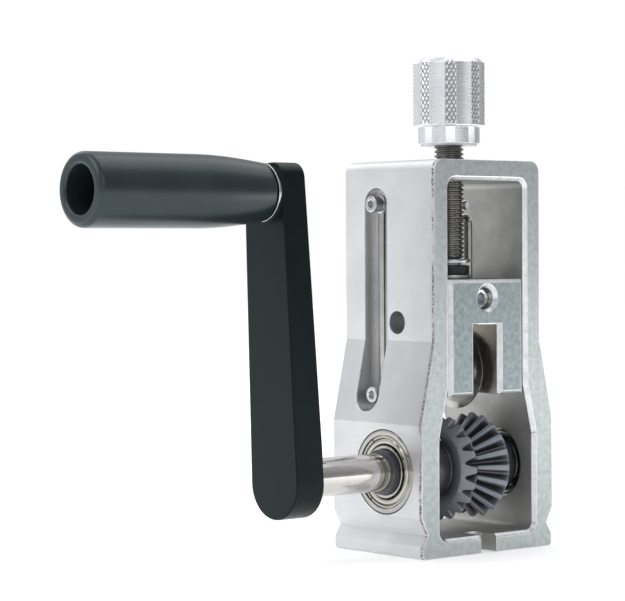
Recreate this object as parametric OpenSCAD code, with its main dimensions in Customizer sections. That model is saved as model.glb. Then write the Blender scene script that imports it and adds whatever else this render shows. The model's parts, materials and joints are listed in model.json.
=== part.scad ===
// Hand-cranked wire stripping machine.
// Frame: X runs along the crank axis (crank on -X), -Y is the feed side, Z = 0 is the bench.

/* [Frame] */
// Overall height of the frame
frame_h = 130; // [124:1:156]
// Depth of the frame, feed side to back
frame_d = 44; // [41:1:56]
// Outer width of the upper part
head_w = 48; // [44:1:56]
// Outer width of the lower part
body_w = 60; // [58:1:72]
// Side wall thickness of the upper part
head_wall = 6.8; // [6:0.2:8]
// Side wall thickness of the lower part
body_wall = 8.8; // [8.4:0.2:10]
// Thickness of the top bridge
top_wall = 6.8; // [5:0.2:9]
// Thickness of the base plate
floor_t = 6.2; // [5:0.2:8]
// Height where the outer walls start to flare
flare_top_z = 70.5; // [66:0.5:76]
// Height where the outer flare ends
flare_low_z = 43.5; // [42:0.5:46]
// Height where the window starts to flare
win_flare_top_z = 55.4; // [53:0.2:58]
// Height where the window flare ends
win_flare_low_z = 38.6; // [36:0.2:42]
// Width of the neck above the foot
waist_w = 54.4; // [53:0.2:56]
// Height of the neck
waist_z = 8; // [7:0.2:9]
// Height of the foot flange
foot_h = 4.3; // [3:0.1:5]
// Top corner radius
corner_r = 3.7; // [2:0.1:6]
// Corner radius of the window
window_r = 2.6; // [1.5:0.1:4]
// Chamfer round the window
edge_chamfer = 1.2; // [0.6:0.1:1.6]
// Width of the open bench slots in the base
bench_slot_w = 7; // [5:0.5:8]
// Depth of the open bench slots
bench_slot_l = 10; // [8:0.5:12]

/* [Crank axis] */
// Height of the crank axis
shaft_z = 27.5; // [26.5:0.1:30]
// Offset of the crank axis from the middle of the depth
axis_y = -3.5; // [-4:0.1:0]
// Shaft diameter
shaft_d = 12.5; // [12:0.1:12.8]
// Shaft length beyond the right wall
stub_l = 9.6; // [6:0.1:14]
// Step from the shaft's radius down to the drive stub's
stub_step = 0.25; // [0.2:0.05:1]
// Bearing bore
bearing_id = 15; // [15:0.1:15.4]
// Bearing outer diameter
bearing_od = 28; // [27.6:0.1:28.4]
// Bearing width
bearing_w = 7; // [6.6:0.1:7.4]
// Ball diameter
ball_d = 3.9; // [3.6:0.1:4]
// Number of balls
ball_count = 10; // [8:1:11]

/* [Feed gears] */
// Tip radius at the large end
gear_tip_r = 18; // [16:0.1:18.2]
// Distance between the two large ends along the axis
gear_span = 15; // [13:0.5:16]
// Depth of a tooth gap, along the back cone
tooth_depth = 3.8; // [3:0.1:4.2]
// Number of teeth on each gear
teeth = 20; // [16:1:24]
// Radius of the flat back face
gear_back_r = 14.2; // [13:0.1:14.8]
// Radius of the inner hub
gear_hub_r = 10; // [9:0.1:11]
// Offset of the feed groove from the middle of the frame
groove_x = 2.6; // [0:0.1:3.5]
// Length of the hub nose that shows outside the bearing
hub_nose_l = 2.1; // [1:0.1:3]

/* [Crank] */
// Gap between the wall and the crank arm
arm_reach = 35.4; // [28:0.2:44]
// Arm thickness at the hub
arm_t = 11.2; // [10:0.2:13]
// Arm thickness at the grip
arm_tip_t = 9.4; // [8:0.2:10]
// Radius of the hub end of the arm
arm_hub_r = 11.5; // [10:0.1:12.5]
// Width of the arm at the grip
arm_tip_w = 19.2; // [17:0.2:22]
// Distance from the crank axis to the grip axis
throw = 91.5; // [76:0.5:110]
// Arm length beyond the grip axis
arm_tip_l = 9.2; // [9:0.1:10.5]
// Lean of the arm at rest, in degrees
arm_lean = 2.8; // [0:0.1:12]
// Corner radius at the top of the arm
arm_corner_r = 5; // [3:0.1:7]
// Grip diameter
grip_d = 23; // [22:0.1:26]
// Grip length
grip_l = 69; // [62:0.5:83]
// Diameter of the recess in the outer end of the grip
grip_recess_d = 15; // [13.6:0.1:16]
// Depth of the recess
grip_recess_l = 41; // [38:0.5:44]
// Shoulder diameter of the grip axle
grip_axle_d = 8; // [7:0.1:9]

/* [Slider and cutter] */
// Slider height
slider_h = 38.3; // [37:0.1:40]
// Slider depth
slider_d = 35.7; // [32:0.1:37]
// Distance from the slider's lower edge to the cutter axle
axle_up = 7.6; // [7:0.1:9]
// Width of the fork slot
fork_w = 10.9; // [10:0.1:12]
// Height of the fork slot
fork_h = 23.1; // [22:0.1:24]
// Cutter radius
cutter_r = 13; // [12:0.1:13.4]
// Cutter thickness
cutter_t = 1.2; // [1:0.1:1.5]
// Gap between the cutter and the gear tips at rest
cutter_gap = 1.5; // [1:0.1:2.5]
// Diameter of the cutter screw
axle_d = 5; // [4.5:0.1:5.5]
// Height of the front hole below the slider's top
hole_down = 6.4; // [5.8:0.1:7]
// Diameter of the front hole
hole_d = 7; // [6:0.1:7.4]
// Chamfer on the slider's edges
slider_chamfer = 1.3; // [0.8:0.1:1.6]

/* [Guide rods] */
// Guide rod diameter
rod_d = 6; // [5.6:0.1:6.4]
// Distance of the guide rods behind the middle of the depth
slot_y = 6.8; // [6:0.1:8]
// Width of the outer slot
pocket_w = 10.8; // [9.6:0.1:12]
// Depth of the outer slot
pocket_d = 4.4; // [4:0.1:4.8]
// Height of the lower guide screw
guide_low_z = 52.3; // [51:0.1:54]
// Distance from the frame's top to the upper guide screw
guide_top_gap = 14.3; // [13:0.1:16]

/* [Adjuster] */
// Thread diameter
screw_d = 10; // [9:0.5:10.5]
// Diameter of the plain tail in the slider
tail_d = 7; // [6.4:0.1:7.4]
// Diameter of the knob
knob_d = 24; // [22:0.2:28]
// Height of the fluted part of the knob
knob_h = 23; // [18:0.5:28]
// Collar diameter
collar_d = 20.6; // [18:0.2:21]
// Collar height
collar_h = 6.4; // [5:0.1:8]
// Gap under the collar at rest
knob_gap = 5.2; // [5.2:0.1:8]
// Number of flutes
flutes = 8; // [6:1:10]
// Washer diameter
washer_d = 14; // [12:0.2:15]

/* [Fits] */
// Gap round a part that is fixed in its hole
seat_gap = 0.01; // [0.01:0.005:0.02]
// Radial clearance of a turning or sliding fit
run_gap = 0.06; // [0.04:0.01:0.08]
// Clearance of the slider in the window
slide_gap = 0.15; // [0.1:0.05:0.2]
// Clearance where nothing should touch
free_gap = 0.35; // [0.3:0.05:0.4]

/* [Hidden] */
$fn = 64;
small_fn = 32;
eps = 0.1;

// Frame
head_in = head_w / 2 - head_wall;
body_in = body_w / 2 - body_wall;
win_top_z = frame_h - top_wall;
neck_rise = 5.2;
waist_top_z = waist_z + neck_rise;
foot_inset = 1;
foot_w = body_w - foot_inset;
foot_chamfer = 0.8;
front_y = -frame_d / 2;
// Guide rods
rod_r = rod_d / 2;
rod_seat = 1.7;
rod_x = head_in + rod_seat;
rod_end = 2.8;
floor_x = head_w / 2 - pocket_d;
guide_high_z = frame_h - guide_top_gap;
tongue_t = 2;
guide_slot_gap = 0.3;
guide_slot_w = rod_d + 2 * guide_slot_gap;
guide_slot_end = 3.2;
rod_flat_end = 1;
guide_washer_t = 0.8;
guide_spring_t = 0.9;
guide_head_h = 3;
guide_head_r = 2.75;
guide_washer_r = guide_head_r + 0.3;
guide_spring_r = guide_head_r - 0.1;
guide_thread_r = 1.5;
guide_hole_r = guide_thread_r + 0.1;
guide_socket = 2.5;
guide_tip_gap = 0.9;
// Screw heads and ends
head_edge = 0.3;
point_edge = 0.5;
grub_point_l = 0.05;
grub_end_gap = 0.1;
// Bearings
inner_r = bearing_id / 2;
outer_r = bearing_od / 2;
ball_offset = 0.35;
pitch_r = (inner_r + outer_r) / 2 - ball_offset;
ball_r = ball_d / 2;
race_gap = 0.05;
bore_relief = 0.4;
inner_ring_t = 1.2;
outer_ring_t = 2.4;
shield_wall_t = 1.85;
inner_land_r = inner_r + inner_ring_t;
outer_land_r = outer_r - outer_ring_t;
shield_seat_r = outer_r - shield_wall_t;
shield_gap = 0.15;
shield_depth = bearing_w / 2 - ball_r - shield_gap;
shield_t = 0.4;
clip_t = 0.6;
clip_w = 1;
clip_start = 148;
clip_turn = 352;
// Feed gears
tip_half = gear_span / 2;
small_tip_r = gear_tip_r - tip_half;
apex = small_tip_r;
root_r = gear_tip_r - tooth_depth * cos(45);
root_x = tip_half + tooth_depth * cos(45);
root_angle = atan(root_r / (root_x + apex));
root_line = norm([root_r, root_x + apex]);
back_x = tip_half + gear_tip_r - gear_back_r;
flank = 18;
gap_root_w = 1.7;
hub_step_r = inner_land_r;
wall_gap = 0.5;
hub_nose_r = inner_r - seat_gap;
gear_screw_r = 2;
overreach = 1.3;
stub_gap = 0.3;
stub_x = body_w / 2 + hub_nose_l + stub_gap;
shaft_chamfer = 0.8;
// Cutter and slider
cutter_z = shaft_z + gear_tip_r + cutter_gap + cutter_r;
slider_z = cutter_z - axle_up;
slider_top_z = slider_z + slider_h;
slider_half = head_in - slide_gap;
slider_set_back = 0.3;
slider_front_y = front_y + slider_set_back;
hole_z = slider_top_z - hole_down;
bush_r = 4;
bush_half_w = cutter_t / 2 + 0.3;
bush_wall_r = axle_d / 2 + seat_gap;
spacer_r = 5.5;
axle_head_r = 3.5;
axle_head_h = 4;
axle_head_gap = 0.15;
axle_sink = 0.6;
axle_wall = 1;
axle_end_gap = 0.1;
hole_chamfer = 1.2;
access_up = 16.5;
access_z = cutter_z + access_up;
access_d = 7.5;
// Adjuster
plain_t = 1.3;
thrust_t = 3.2;
thrust_inset = 0.4;
spring_t = 2.2;
shoulder_z = slider_top_z + plain_t + thrust_t + spring_t + eps;
tail_l = 19.5;
tail_end_gap = 0.5;
groove_r = 2.5;
groove_h = 3.6;
grub_tip_r = 1.4;
collar_z = frame_h + knob_gap;
knob_z = collar_z + collar_h;
knob_top_z = knob_z + knob_h;
screw_in_knob = 15;
flute_phase = 26.9;
flute_tool = 0.9;
knob_screw_r = 1.5;
washer_start = -40;
washer_turn = 350;
// Crank
arm_in_x = body_w / 2 + arm_reach;
arm_out_x = arm_in_x + arm_t;
arm_hub_drop = 0.8;
shaft_in_arm = 9;
arm_thread_l = 8;
arm_screw_r = 2.5;
grip_washer_t = 1;
grip_gap = 0.4;
grip_in_x = arm_out_x + grip_washer_t + grip_gap;
grip_out_x = grip_in_x + grip_l;
grip_neck_r = grip_d / 2 - 2.1;
grip_edge = 1.5;
grip_taper_l = 26;
grip_rim_r = 2;
recess_edge = 0.6;
recess_x = grip_out_x - grip_recess_l;
axle_bore_r = grip_axle_d / 2 + run_gap;
grip_thread_r = 3;
axle_cap_r = 6.4;
axle_cap_h = 5;

// Square prism turned 45 degrees along a line of the sketch, for chamfers of size c at height h
module chamfer_bar(a, b, c, h) {
    translate([a[0], a[1], h])
        rotate([0, 0, atan2(b[1] - a[1], b[0] - a[0])])
            rotate([45, 0, 0])
                translate([0, -c * sqrt(0.5), -c * sqrt(0.5)])
                    cube([norm(b - a), c * sqrt(2), c * sqrt(2)]);
}

// Turns a sketch in XZ, extruded towards the feed side
module upright() {
    rotate([90, 0, 0])
        children();
}

// Extrudes a sketch in YZ along X, starting at x
module along_x(x, length) {
    translate([x, 0, 0])
        rotate([90, 0, 90])
            linear_extrude(length)
                children();
}

module on_crank_axis() {
    translate([0, axis_y, shaft_z])
        children();
}

// Revolves a sketch of [radius, x] points about the X direction
module turned_x(points) {
    rotate([0, 90, 0])
        rotate_extrude()
            polygon(points);
}

// Round corner taken off a square corner at the origin, r wide in the +x +y quadrant
module corner_filler(r) {
    difference() {
        translate([-eps, -eps])
            square(r + eps);
        translate([r, r])
            circle(r);
    }
}

module stadium(w, low, high) {
    translate([-w / 2, low])
        square([w, high - low]);
    translate([0, low])
        circle(w / 2);
    translate([0, high])
        circle(w / 2);
}

module frame_outline() {
    half = head_w / 2;
    low = body_w / 2;
    difference() {
        polygon([[-half, frame_h], [-half, flare_top_z], [-low, flare_low_z],
            [-low, waist_top_z], [-waist_w / 2, waist_z], [-foot_w / 2, foot_h],
            [-foot_w / 2, foot_chamfer], [-foot_w / 2 + foot_chamfer, 0],
            [foot_w / 2 - foot_chamfer, 0], [foot_w / 2, foot_chamfer],
            [foot_w / 2, foot_h], [waist_w / 2, waist_z], [low, waist_top_z],
            [low, flare_low_z], [half, flare_top_z], [half, frame_h]]);
        for (side = [-1, 1])
            translate([side * half, frame_h])
                rotate([0, 0, side > 0 ? 180 : -90])
                    corner_filler(corner_r);
    }
}

module window_outline() {
    difference() {
        polygon([[-head_in, win_top_z], [-head_in, win_flare_top_z],
            [-body_in, win_flare_low_z], [-body_in, floor_t],
            [body_in, floor_t], [body_in, win_flare_low_z],
            [head_in, win_flare_top_z], [head_in, win_top_z]]);
        for (side = [-1, 1]) {
            translate([side * head_in, win_top_z])
                rotate([0, 0, side > 0 ? 180 : -90])
                    corner_filler(window_r);
            translate([side * body_in, floor_t])
                rotate([0, 0, side > 0 ? 90 : 0])
                    corner_filler(window_r);
        }
    }
}

// Chamfer all round the window at one face
module window_chamfer() {
    h = frame_d / 2;
    c = edge_chamfer;
    for (side = [-1, 1]) {
        chamfer_bar([side * head_in, win_flare_top_z],
            [side * head_in, win_top_z - window_r], c, h);
        chamfer_bar([side * body_in, win_flare_low_z],
            [side * head_in, win_flare_top_z], c, h);
        chamfer_bar([side * body_in, floor_t + window_r],
            [side * body_in, win_flare_low_z], c, h);
        for (corner = [[head_in, win_top_z, -1], [body_in, floor_t, 1]])
            translate([side * (corner[0] - window_r), corner[1] + corner[2] * window_r, h - c])
                cylinder(r1 = window_r, r2 = window_r + c, h = c);
    }
    chamfer_bar([-head_in + window_r, win_top_z], [head_in - window_r, win_top_z], c, h);
    chamfer_bar([-body_in + window_r, floor_t], [body_in - window_r, floor_t], c, h);
}

// Side slot, guide slot, screw holes and bearing seat of the right wall
module side_cuts() {
    along_x(floor_x, body_w)
        translate([slot_y, 0])
            stadium(pocket_w, guide_low_z, guide_high_z);
    along_x(head_in - eps, pocket_d + head_wall)
        translate([slot_y, 0])
            stadium(guide_slot_w, guide_low_z + guide_slot_end + guide_slot_w / 2,
                guide_high_z - guide_slot_end - guide_slot_w / 2);
    for (z = [guide_low_z, guide_high_z])
        translate([0, slot_y, z])
            rotate([0, 90, 0])
                cylinder(r = guide_thread_r, h = body_w, $fn = small_fn);
    on_crank_axis() {
        translate([body_w / 2 - bearing_w, 0, 0])
            rotate([0, 90, 0])
                cylinder(r = outer_r, h = body_w);
        rotate([0, 90, 0])
            cylinder(r = outer_land_r + bore_relief, h = body_w);
    }
}

module frame() {
    color("gainsboro")
        difference() {
            upright()
                difference() {
                    translate([0, 0, -frame_d / 2])
                        linear_extrude(frame_d)
                            difference() {
                                frame_outline();
                                window_outline();
                            }
                    window_chamfer();
                    mirror([0, 0, 1])
                        window_chamfer();
                }
            side_cuts();
            mirror([1, 0, 0])
                side_cuts();
            // Opening in the left wall that reaches the cutter screw
            translate([-head_w, axis_y, access_z])
                rotate([0, 90, 0])
                    cylinder(d = access_d, h = head_w);
            // Clearance for the adjusting thread
            translate([0, axis_y, win_top_z - eps])
                cylinder(r = screw_d / 2 + run_gap, h = top_wall + 2 * eps);
            // Open bench slots, front and back
            for (side = [-1, 1])
                translate([0, side * (frame_d / 2 - bench_slot_l + bench_slot_w / 2), -eps]) {
                    cylinder(d = bench_slot_w, h = floor_t + 2 * eps);
                    translate([-bench_slot_w / 2, side > 0 ? 0 : -frame_d, 0])
                        cube([bench_slot_w, frame_d, floor_t + 2 * eps]);
                }
        }
}

// Guide rod of the right wall, flattened at both ends under its screws
module guide_rod() {
    low = guide_low_z - rod_end;
    high = guide_high_z + rod_end;
    full = guide_slot_end + guide_slot_w / 2 - rod_flat_end;
    difference() {
        translate([rod_x, slot_y, low])
            cylinder(r = rod_r, h = high - low);
        for (z = [low - eps, guide_high_z - full]) {
            translate([0, 0, z])
                cube([floor_x, frame_d, rod_end + full + eps]);
            translate([floor_x + tongue_t, 0, z])
                cube([rod_d, frame_d, rod_end + full + eps]);
        }
        for (z = [guide_low_z, guide_high_z])
            translate([0, slot_y, z])
                rotate([0, 90, 0])
                    cylinder(r = guide_hole_r, h = head_w, $fn = small_fn);
    }
}

module right_guide_rod() {
    color("silver")
        guide_rod();
}

module left_guide_rod() {
    color("silver")
        mirror([1, 0, 0])
            guide_rod();
}

module at_guide_screws() {
    for (side = [-1, 1])
        for (z = [guide_low_z, guide_high_z])
            translate([side * (floor_x + tongue_t), slot_y, z])
                rotate([0, side * 90, 0])
                    children();
}

module guide_washers() {
    color("lightgray")
        at_guide_screws()
            difference() {
                union() {
                    cylinder(r = guide_washer_r, h = guide_washer_t, $fn = small_fn);
                    translate([0, 0, guide_washer_t])
                        cylinder(r = guide_spring_r, h = guide_spring_t, $fn = small_fn);
                }
                translate([0, 0, -eps])
                    cylinder(r = guide_hole_r, h = guide_washer_t + guide_spring_t + 2 * eps,
                        $fn = small_fn);
            }
}

// Socket head screw: head of radius r and height h above z = 0, shank below
module cap_screw(r, h, shank_r, shank_l, socket_af) {
    difference() {
        union() {
            cylinder(r = r, h = h - head_edge, $fn = small_fn);
            translate([0, 0, h - head_edge])
                cylinder(r1 = r, r2 = r - head_edge, h = head_edge, $fn = small_fn);
            translate([0, 0, -shank_l])
                cylinder(r = shank_r, h = shank_l + eps, $fn = small_fn);
        }
        translate([0, 0, h / 2])
            cylinder(r = socket_af / sqrt(3), h = h, $fn = 6);
    }
}

// Headless screw of radius r and length l with its socket at z = 0
module grub_screw(r, l, socket_af, tip_r, tip_l) {
    difference() {
        union() {
            translate([0, 0, -l])
                cylinder(r = r, h = l, $fn = small_fn);
            translate([0, 0, -l - tip_l])
                cylinder(r = tip_r, h = tip_l + eps, $fn = small_fn);
        }
        translate([0, 0, -l / 2])
            cylinder(r = socket_af / sqrt(3), h = l, $fn = 6);
    }
}

module guide_screws() {
    reach = floor_x + tongue_t - head_in - guide_tip_gap;
    color("silver")
        at_guide_screws()
            translate([0, 0, guide_washer_t + guide_spring_t])
                cap_screw(guide_head_r, guide_head_h, guide_thread_r - seat_gap,
                    guide_washer_t + guide_spring_t + reach, guide_socket);
}

// Places a bearing part, drawn with its outer face at x = 0 and its width along -x, in a wall
module at_bearing(side) {
    on_crank_axis()
        mirror([side < 0 ? 1 : 0, 0, 0])
            translate([body_w / 2, 0, 0])
                children();
}

module race_cut() {
    translate([-bearing_w / 2, 0, 0])
        rotate([0, 90, 0])
            rotate_extrude()
                translate([pitch_r, 0])
                    circle(ball_r + race_gap);
}

module bearing_outer() {
    seat = outer_r - seat_gap;
    difference() {
        turned_x([[outer_land_r, -shield_depth], [shield_seat_r, -shield_depth],
            [shield_seat_r, 0], [seat, 0], [seat, -bearing_w], [shield_seat_r, -bearing_w],
            [shield_seat_r, -bearing_w + shield_depth],
            [outer_land_r, -bearing_w + shield_depth]]);
        race_cut();
    }
}

module bearing_inner() {
    difference() {
        turned_x([[inner_r, 0], [inner_land_r, 0], [inner_land_r, -bearing_w],
            [inner_r, -bearing_w]]);
        race_cut();
    }
}

module bearing_balls() {
    for (i = [0 : ball_count - 1])
        rotate([i * 360 / ball_count, 0, 0])
            translate([-bearing_w / 2, 0, pitch_r])
                sphere(ball_r, $fn = small_fn);
}

module bearing_cage() {
    cage_t = 1.4;
    cage_in = pitch_r - cage_t / 2;
    cage_out = pitch_r + cage_t / 2;
    cage_w = 3;
    difference() {
        turned_x([[cage_in, -(bearing_w - cage_w) / 2], [cage_out, -(bearing_w - cage_w) / 2],
            [cage_out, -(bearing_w + cage_w) / 2], [cage_in, -(bearing_w + cage_w) / 2]]);
        for (i = [0 : ball_count - 1])
            rotate([i * 360 / ball_count, 0, 0])
                translate([-bearing_w / 2, 0, pitch_r])
                    sphere(ball_r + race_gap, $fn = small_fn);
    }
}

module bearing_shields() {
    in_r = inner_land_r + free_gap;
    out_r = shield_seat_r - seat_gap;
    for (x = [-shield_depth, -bearing_w + shield_depth - shield_t])
        turned_x([[in_r, x], [out_r, x], [out_r, x + shield_t], [in_r, x + shield_t]]);
}

// Snap ring over the outer shield, with its gap towards the top
module bearing_clip() {
    out_r = shield_seat_r - seat_gap;
    translate([-shield_depth + shield_t, 0, 0])
        rotate([0, 90, 0])
            rotate([0, 0, clip_start])
                rotate_extrude(angle = clip_turn)
                    translate([out_r - clip_w, 0])
                        square([clip_w, clip_t]);
}

module left_bearing_outer() {
    color("silver")
        at_bearing(-1)
            bearing_outer();
}

module left_bearing_inner() {
    color("silver")
        at_bearing(-1)
            bearing_inner();
}

module left_bearing_balls() {
    color("gainsboro")
        at_bearing(-1)
            bearing_balls();
}

module left_bearing_cage() {
    color("lightgray")
        at_bearing(-1)
            bearing_cage();
}

module left_bearing_shields() {
    color("lightgray")
        at_bearing(-1)
            bearing_shields();
}

module left_bearing_clip() {
    color("silver")
        at_bearing(-1)
            bearing_clip();
}

module right_bearing_outer() {
    color("silver")
        at_bearing(1)
            bearing_outer();
}

module right_bearing_inner() {
    color("silver")
        at_bearing(1)
            bearing_inner();
}

module right_bearing_balls() {
    color("gainsboro")
        at_bearing(1)
            bearing_balls();
}

module right_bearing_cage() {
    color("lightgray")
        at_bearing(1)
            bearing_cage();
}

module right_bearing_shields() {
    color("lightgray")
        at_bearing(1)
            bearing_shields();
}

module right_bearing_clip() {
    color("silver")
        at_bearing(1)
            bearing_clip();
}

// Shaft with its right end turned down to a drive stub
module crank_shaft() {
    r = shaft_d / 2;
    stub_r = r - stub_step;
    c = shaft_chamfer;
    low = -arm_in_x - shaft_in_arm;
    high = body_w / 2 + stub_l;
    color("gainsboro")
        on_crank_axis()
            turned_x([[0, low], [r - c, low], [r, low + c], [r, stub_x], [stub_r, stub_x],
                [stub_r, high - c], [stub_r - c, high], [0, high]]);
}

// One flank of a tooth gap: everything on one side of a plane through the cone's apex
module gap_side(side) {
    reach = root_line * overreach;
    edge = side * gap_root_w / 2 * overreach;
    beyond = -side * gear_tip_r / 3;
    rotate([-side * flank, 0, 0])
        linear_extrude(tooth_depth * 2)
            polygon([[0, 0], [reach, edge], [reach, beyond], [0, beyond]]);
}

module tooth_gap() {
    translate([apex, 0, 0])
        rotate([0, 0, 180])
            rotate([0, -root_angle, 0])
                intersection() {
                    gap_side(1);
                    gap_side(-1);
                }
}

// Bevel gear with its small end at x = 0, its back towards -x and its hub ending at the bearing
module feed_gear(mid_to_wall) {
    bore_r = shaft_d / 2 + seat_gap;
    hub_x = mid_to_wall - wall_gap;
    race_x = mid_to_wall + body_wall - bearing_w;
    nose_x = mid_to_wall + body_wall + hub_nose_l;
    screw_x = (back_x + hub_x) / 2;
    difference() {
        turned_x([[bore_r, 0], [small_tip_r, 0], [gear_tip_r, -tip_half],
            [gear_back_r, -back_x], [gear_hub_r, -back_x], [gear_hub_r, -hub_x],
            [hub_step_r, -hub_x], [hub_step_r, -race_x], [hub_nose_r, -race_x],
            [hub_nose_r, -nose_x], [bore_r, -nose_x]]);
        for (i = [0 : teeth - 1])
            rotate([(i + 0.5) * 360 / teeth, 0, 0])
                tooth_gap();
        translate([-screw_x, 0, 0])
            rotate([-90, 0, 0])
                cylinder(r = gear_screw_r, h = gear_hub_r + eps, $fn = small_fn);
    }
}

// Distance from the groove to the inner face of a wall
function groove_to_wall(side) = body_in - side * groove_x;

module at_groove(side) {
    on_crank_axis()
        translate([groove_x, 0, 0])
            mirror([side > 0 ? 1 : 0, 0, 0])
                children();
}

module left_feed_gear() {
    color("darkslategray")
        at_groove(-1)
            feed_gear(groove_to_wall(-1));
}

module right_feed_gear() {
    color("darkslategray")
        at_groove(1)
            feed_gear(groove_to_wall(1));
}

module gear_set_screws() {
    screw_r = gear_screw_r - seat_gap;
    sink = 0.2;
    depth = gear_hub_r - shaft_d / 2 - sink - grub_end_gap;
    socket = 2;
    point_r = screw_r * 0.6;
    color("dimgray")
        for (side = [-1, 1])
            at_groove(side)
                translate([-(back_x + groove_to_wall(side) - wall_gap) / 2, gear_hub_r - sink, 0])
                    rotate([-90, 0, 0])
                        grub_screw(screw_r, depth, socket, point_r, grub_point_l);
}

// Puts the crank's own upright sketch at its rest angle
module at_crank() {
    on_crank_axis()
        rotate([-arm_lean, 0, 0])
            children();
}

// Broad face of the arm, in YZ with the crank axis at the origin
module arm_outline() {
    tip = throw + arm_tip_l;
    half = arm_tip_w / 2;
    difference() {
        union() {
            translate([0, -arm_hub_drop])
                circle(arm_hub_r);
            polygon([[-arm_hub_r, -arm_hub_drop], [arm_hub_r, -arm_hub_drop],
                [half, tip - arm_corner_r], [half, tip], [-half, tip],
                [-half, tip - arm_corner_r]]);
        }
        for (side = [-1, 1])
            translate([side * half, tip])
                rotate([0, 0, side > 0 ? 180 : -90])
                    corner_filler(arm_corner_r);
    }
}

module crank_arm() {
    taper_over = 1;
    tip = throw + arm_tip_l + taper_over;
    low = -arm_hub_r - arm_hub_drop - taper_over;
    color("#1b1c20")
        at_crank()
            difference() {
                intersection() {
                    along_x(-arm_out_x, arm_t)
                        arm_outline();
                    translate([0, arm_hub_r * 2, 0])
                        rotate([90, 0, 0])
                            linear_extrude(arm_hub_r * 4)
                                polygon([[-arm_out_x, low], [-arm_in_x, low],
                                    [-arm_in_x, arm_hub_r],
                                    [-arm_out_x + arm_tip_t, tip], [-arm_out_x, tip]]);
                }
                translate([-arm_in_x - shaft_in_arm - seat_gap, 0, 0])
                    rotate([0, 90, 0])
                        cylinder(r = shaft_d / 2 + seat_gap, h = arm_t);
                translate([-arm_out_x - eps, 0, throw])
                    rotate([0, 90, 0])
                        cylinder(r = grip_thread_r + seat_gap, h = arm_thread_l + eps);
                translate([-arm_in_x - shaft_in_arm / 2, 0, 0])
                    rotate([-90, 0, 0])
                        cylinder(r = arm_screw_r, h = arm_hub_r * 2, $fn = small_fn);
            }
}

module arm_set_screw() {
    length = 4.6;
    socket = 2.5;
    point_r = 1.5;
    color("dimgray")
        at_crank()
            translate([-arm_in_x - shaft_in_arm / 2, shaft_d / 2 + length + grub_end_gap, 0])
                rotate([-90, 0, 0])
                    grub_screw(arm_screw_r - seat_gap, length, socket, point_r, grub_point_l);
}

module on_grip_axis() {
    at_crank()
        translate([0, 0, throw])
            children();
}

// Shoulder screw that the grip turns on
module grip_axle() {
    r = grip_axle_d / 2;
    head_x = -recess_x - grip_gap;
    thread_x = -arm_out_x + arm_thread_l - head_edge;
    end_x = head_x - axle_cap_h;
    socket = 6;
    socket_l = 3;
    color("silver")
        on_grip_axis()
            difference() {
                turned_x([[0, thread_x], [grip_thread_r, thread_x],
                    [grip_thread_r, -arm_out_x], [r, -arm_out_x], [r, head_x],
                    [axle_cap_r, head_x], [axle_cap_r, end_x + point_edge],
                    [axle_cap_r - point_edge, end_x], [0, end_x]]);
                translate([end_x - eps, 0, 0])
                    rotate([0, 90, 0])
                        cylinder(r = socket / sqrt(3), h = socket_l, $fn = 6);
            }
}

module grip_washer() {
    inside = grip_axle_d / 2 + seat_gap;
    color("gainsboro")
        on_grip_axis()
            turned_x([[inside, -arm_out_x], [grip_neck_r, -arm_out_x],
                [grip_neck_r, -arm_out_x - grip_washer_t],
                [inside, -arm_out_x - grip_washer_t]]);
}

// Radius of the grip's barrel, d along it from the neck
function barrel_r(d) = grip_neck_r
    + (grip_d / 2 - grip_neck_r) * sin(90 * min(1, max(0, d / grip_taper_l)));

module grip() {
    recess_r = grip_recess_d / 2;
    rim = grip_rim_r;
    steps = 6;
    turn = 30;
    color("#2c3038")
        on_grip_axis()
            turned_x([[axle_bore_r, -grip_in_x], [grip_neck_r - grip_edge, -grip_in_x],
                for (i = [0 : 3]) [grip_neck_r - grip_edge + grip_edge * sin(i * turn),
                    -grip_in_x - grip_edge * (1 - cos(i * turn))],
                for (i = [1 : steps]) [barrel_r(i * grip_taper_l / steps),
                    -grip_in_x - i * grip_taper_l / steps],
                for (i = [0 : 3]) [grip_d / 2 - rim * (1 - cos(i * turn)),
                    -grip_out_x + rim * (1 - sin(i * turn))],
                [recess_r + recess_edge, -grip_out_x], [recess_r, -grip_out_x + recess_edge],
                [recess_r, -recess_x], [axle_bore_r, -recess_x]]);
}

// Threaded part, plain tail and retaining groove of the adjusting screw
module adjuster_screw() {
    r = screw_d / 2;
    tail_r = tail_d / 2;
    tail_end = shoulder_z - tail_l;
    top = knob_z + screw_in_knob;
    low_groove_z = hole_z - groove_h / 2;
    high_groove_z = hole_z + groove_h / 2;
    thread_edge = 0.8;
    top_edge = 1;
    color("gray")
        translate([0, axis_y, 0])
            rotate_extrude()
                polygon([[0, tail_end], [tail_r - point_edge, tail_end],
                    [tail_r, tail_end + point_edge], [tail_r, low_groove_z],
                    [groove_r, low_groove_z], [groove_r, high_groove_z],
                    [tail_r, high_groove_z], [tail_r, shoulder_z],
                    [r - thread_edge, shoulder_z], [r, shoulder_z + thread_edge],
                    [r, top - top_edge], [r - top_edge, top], [0, top]]);
}

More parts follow.
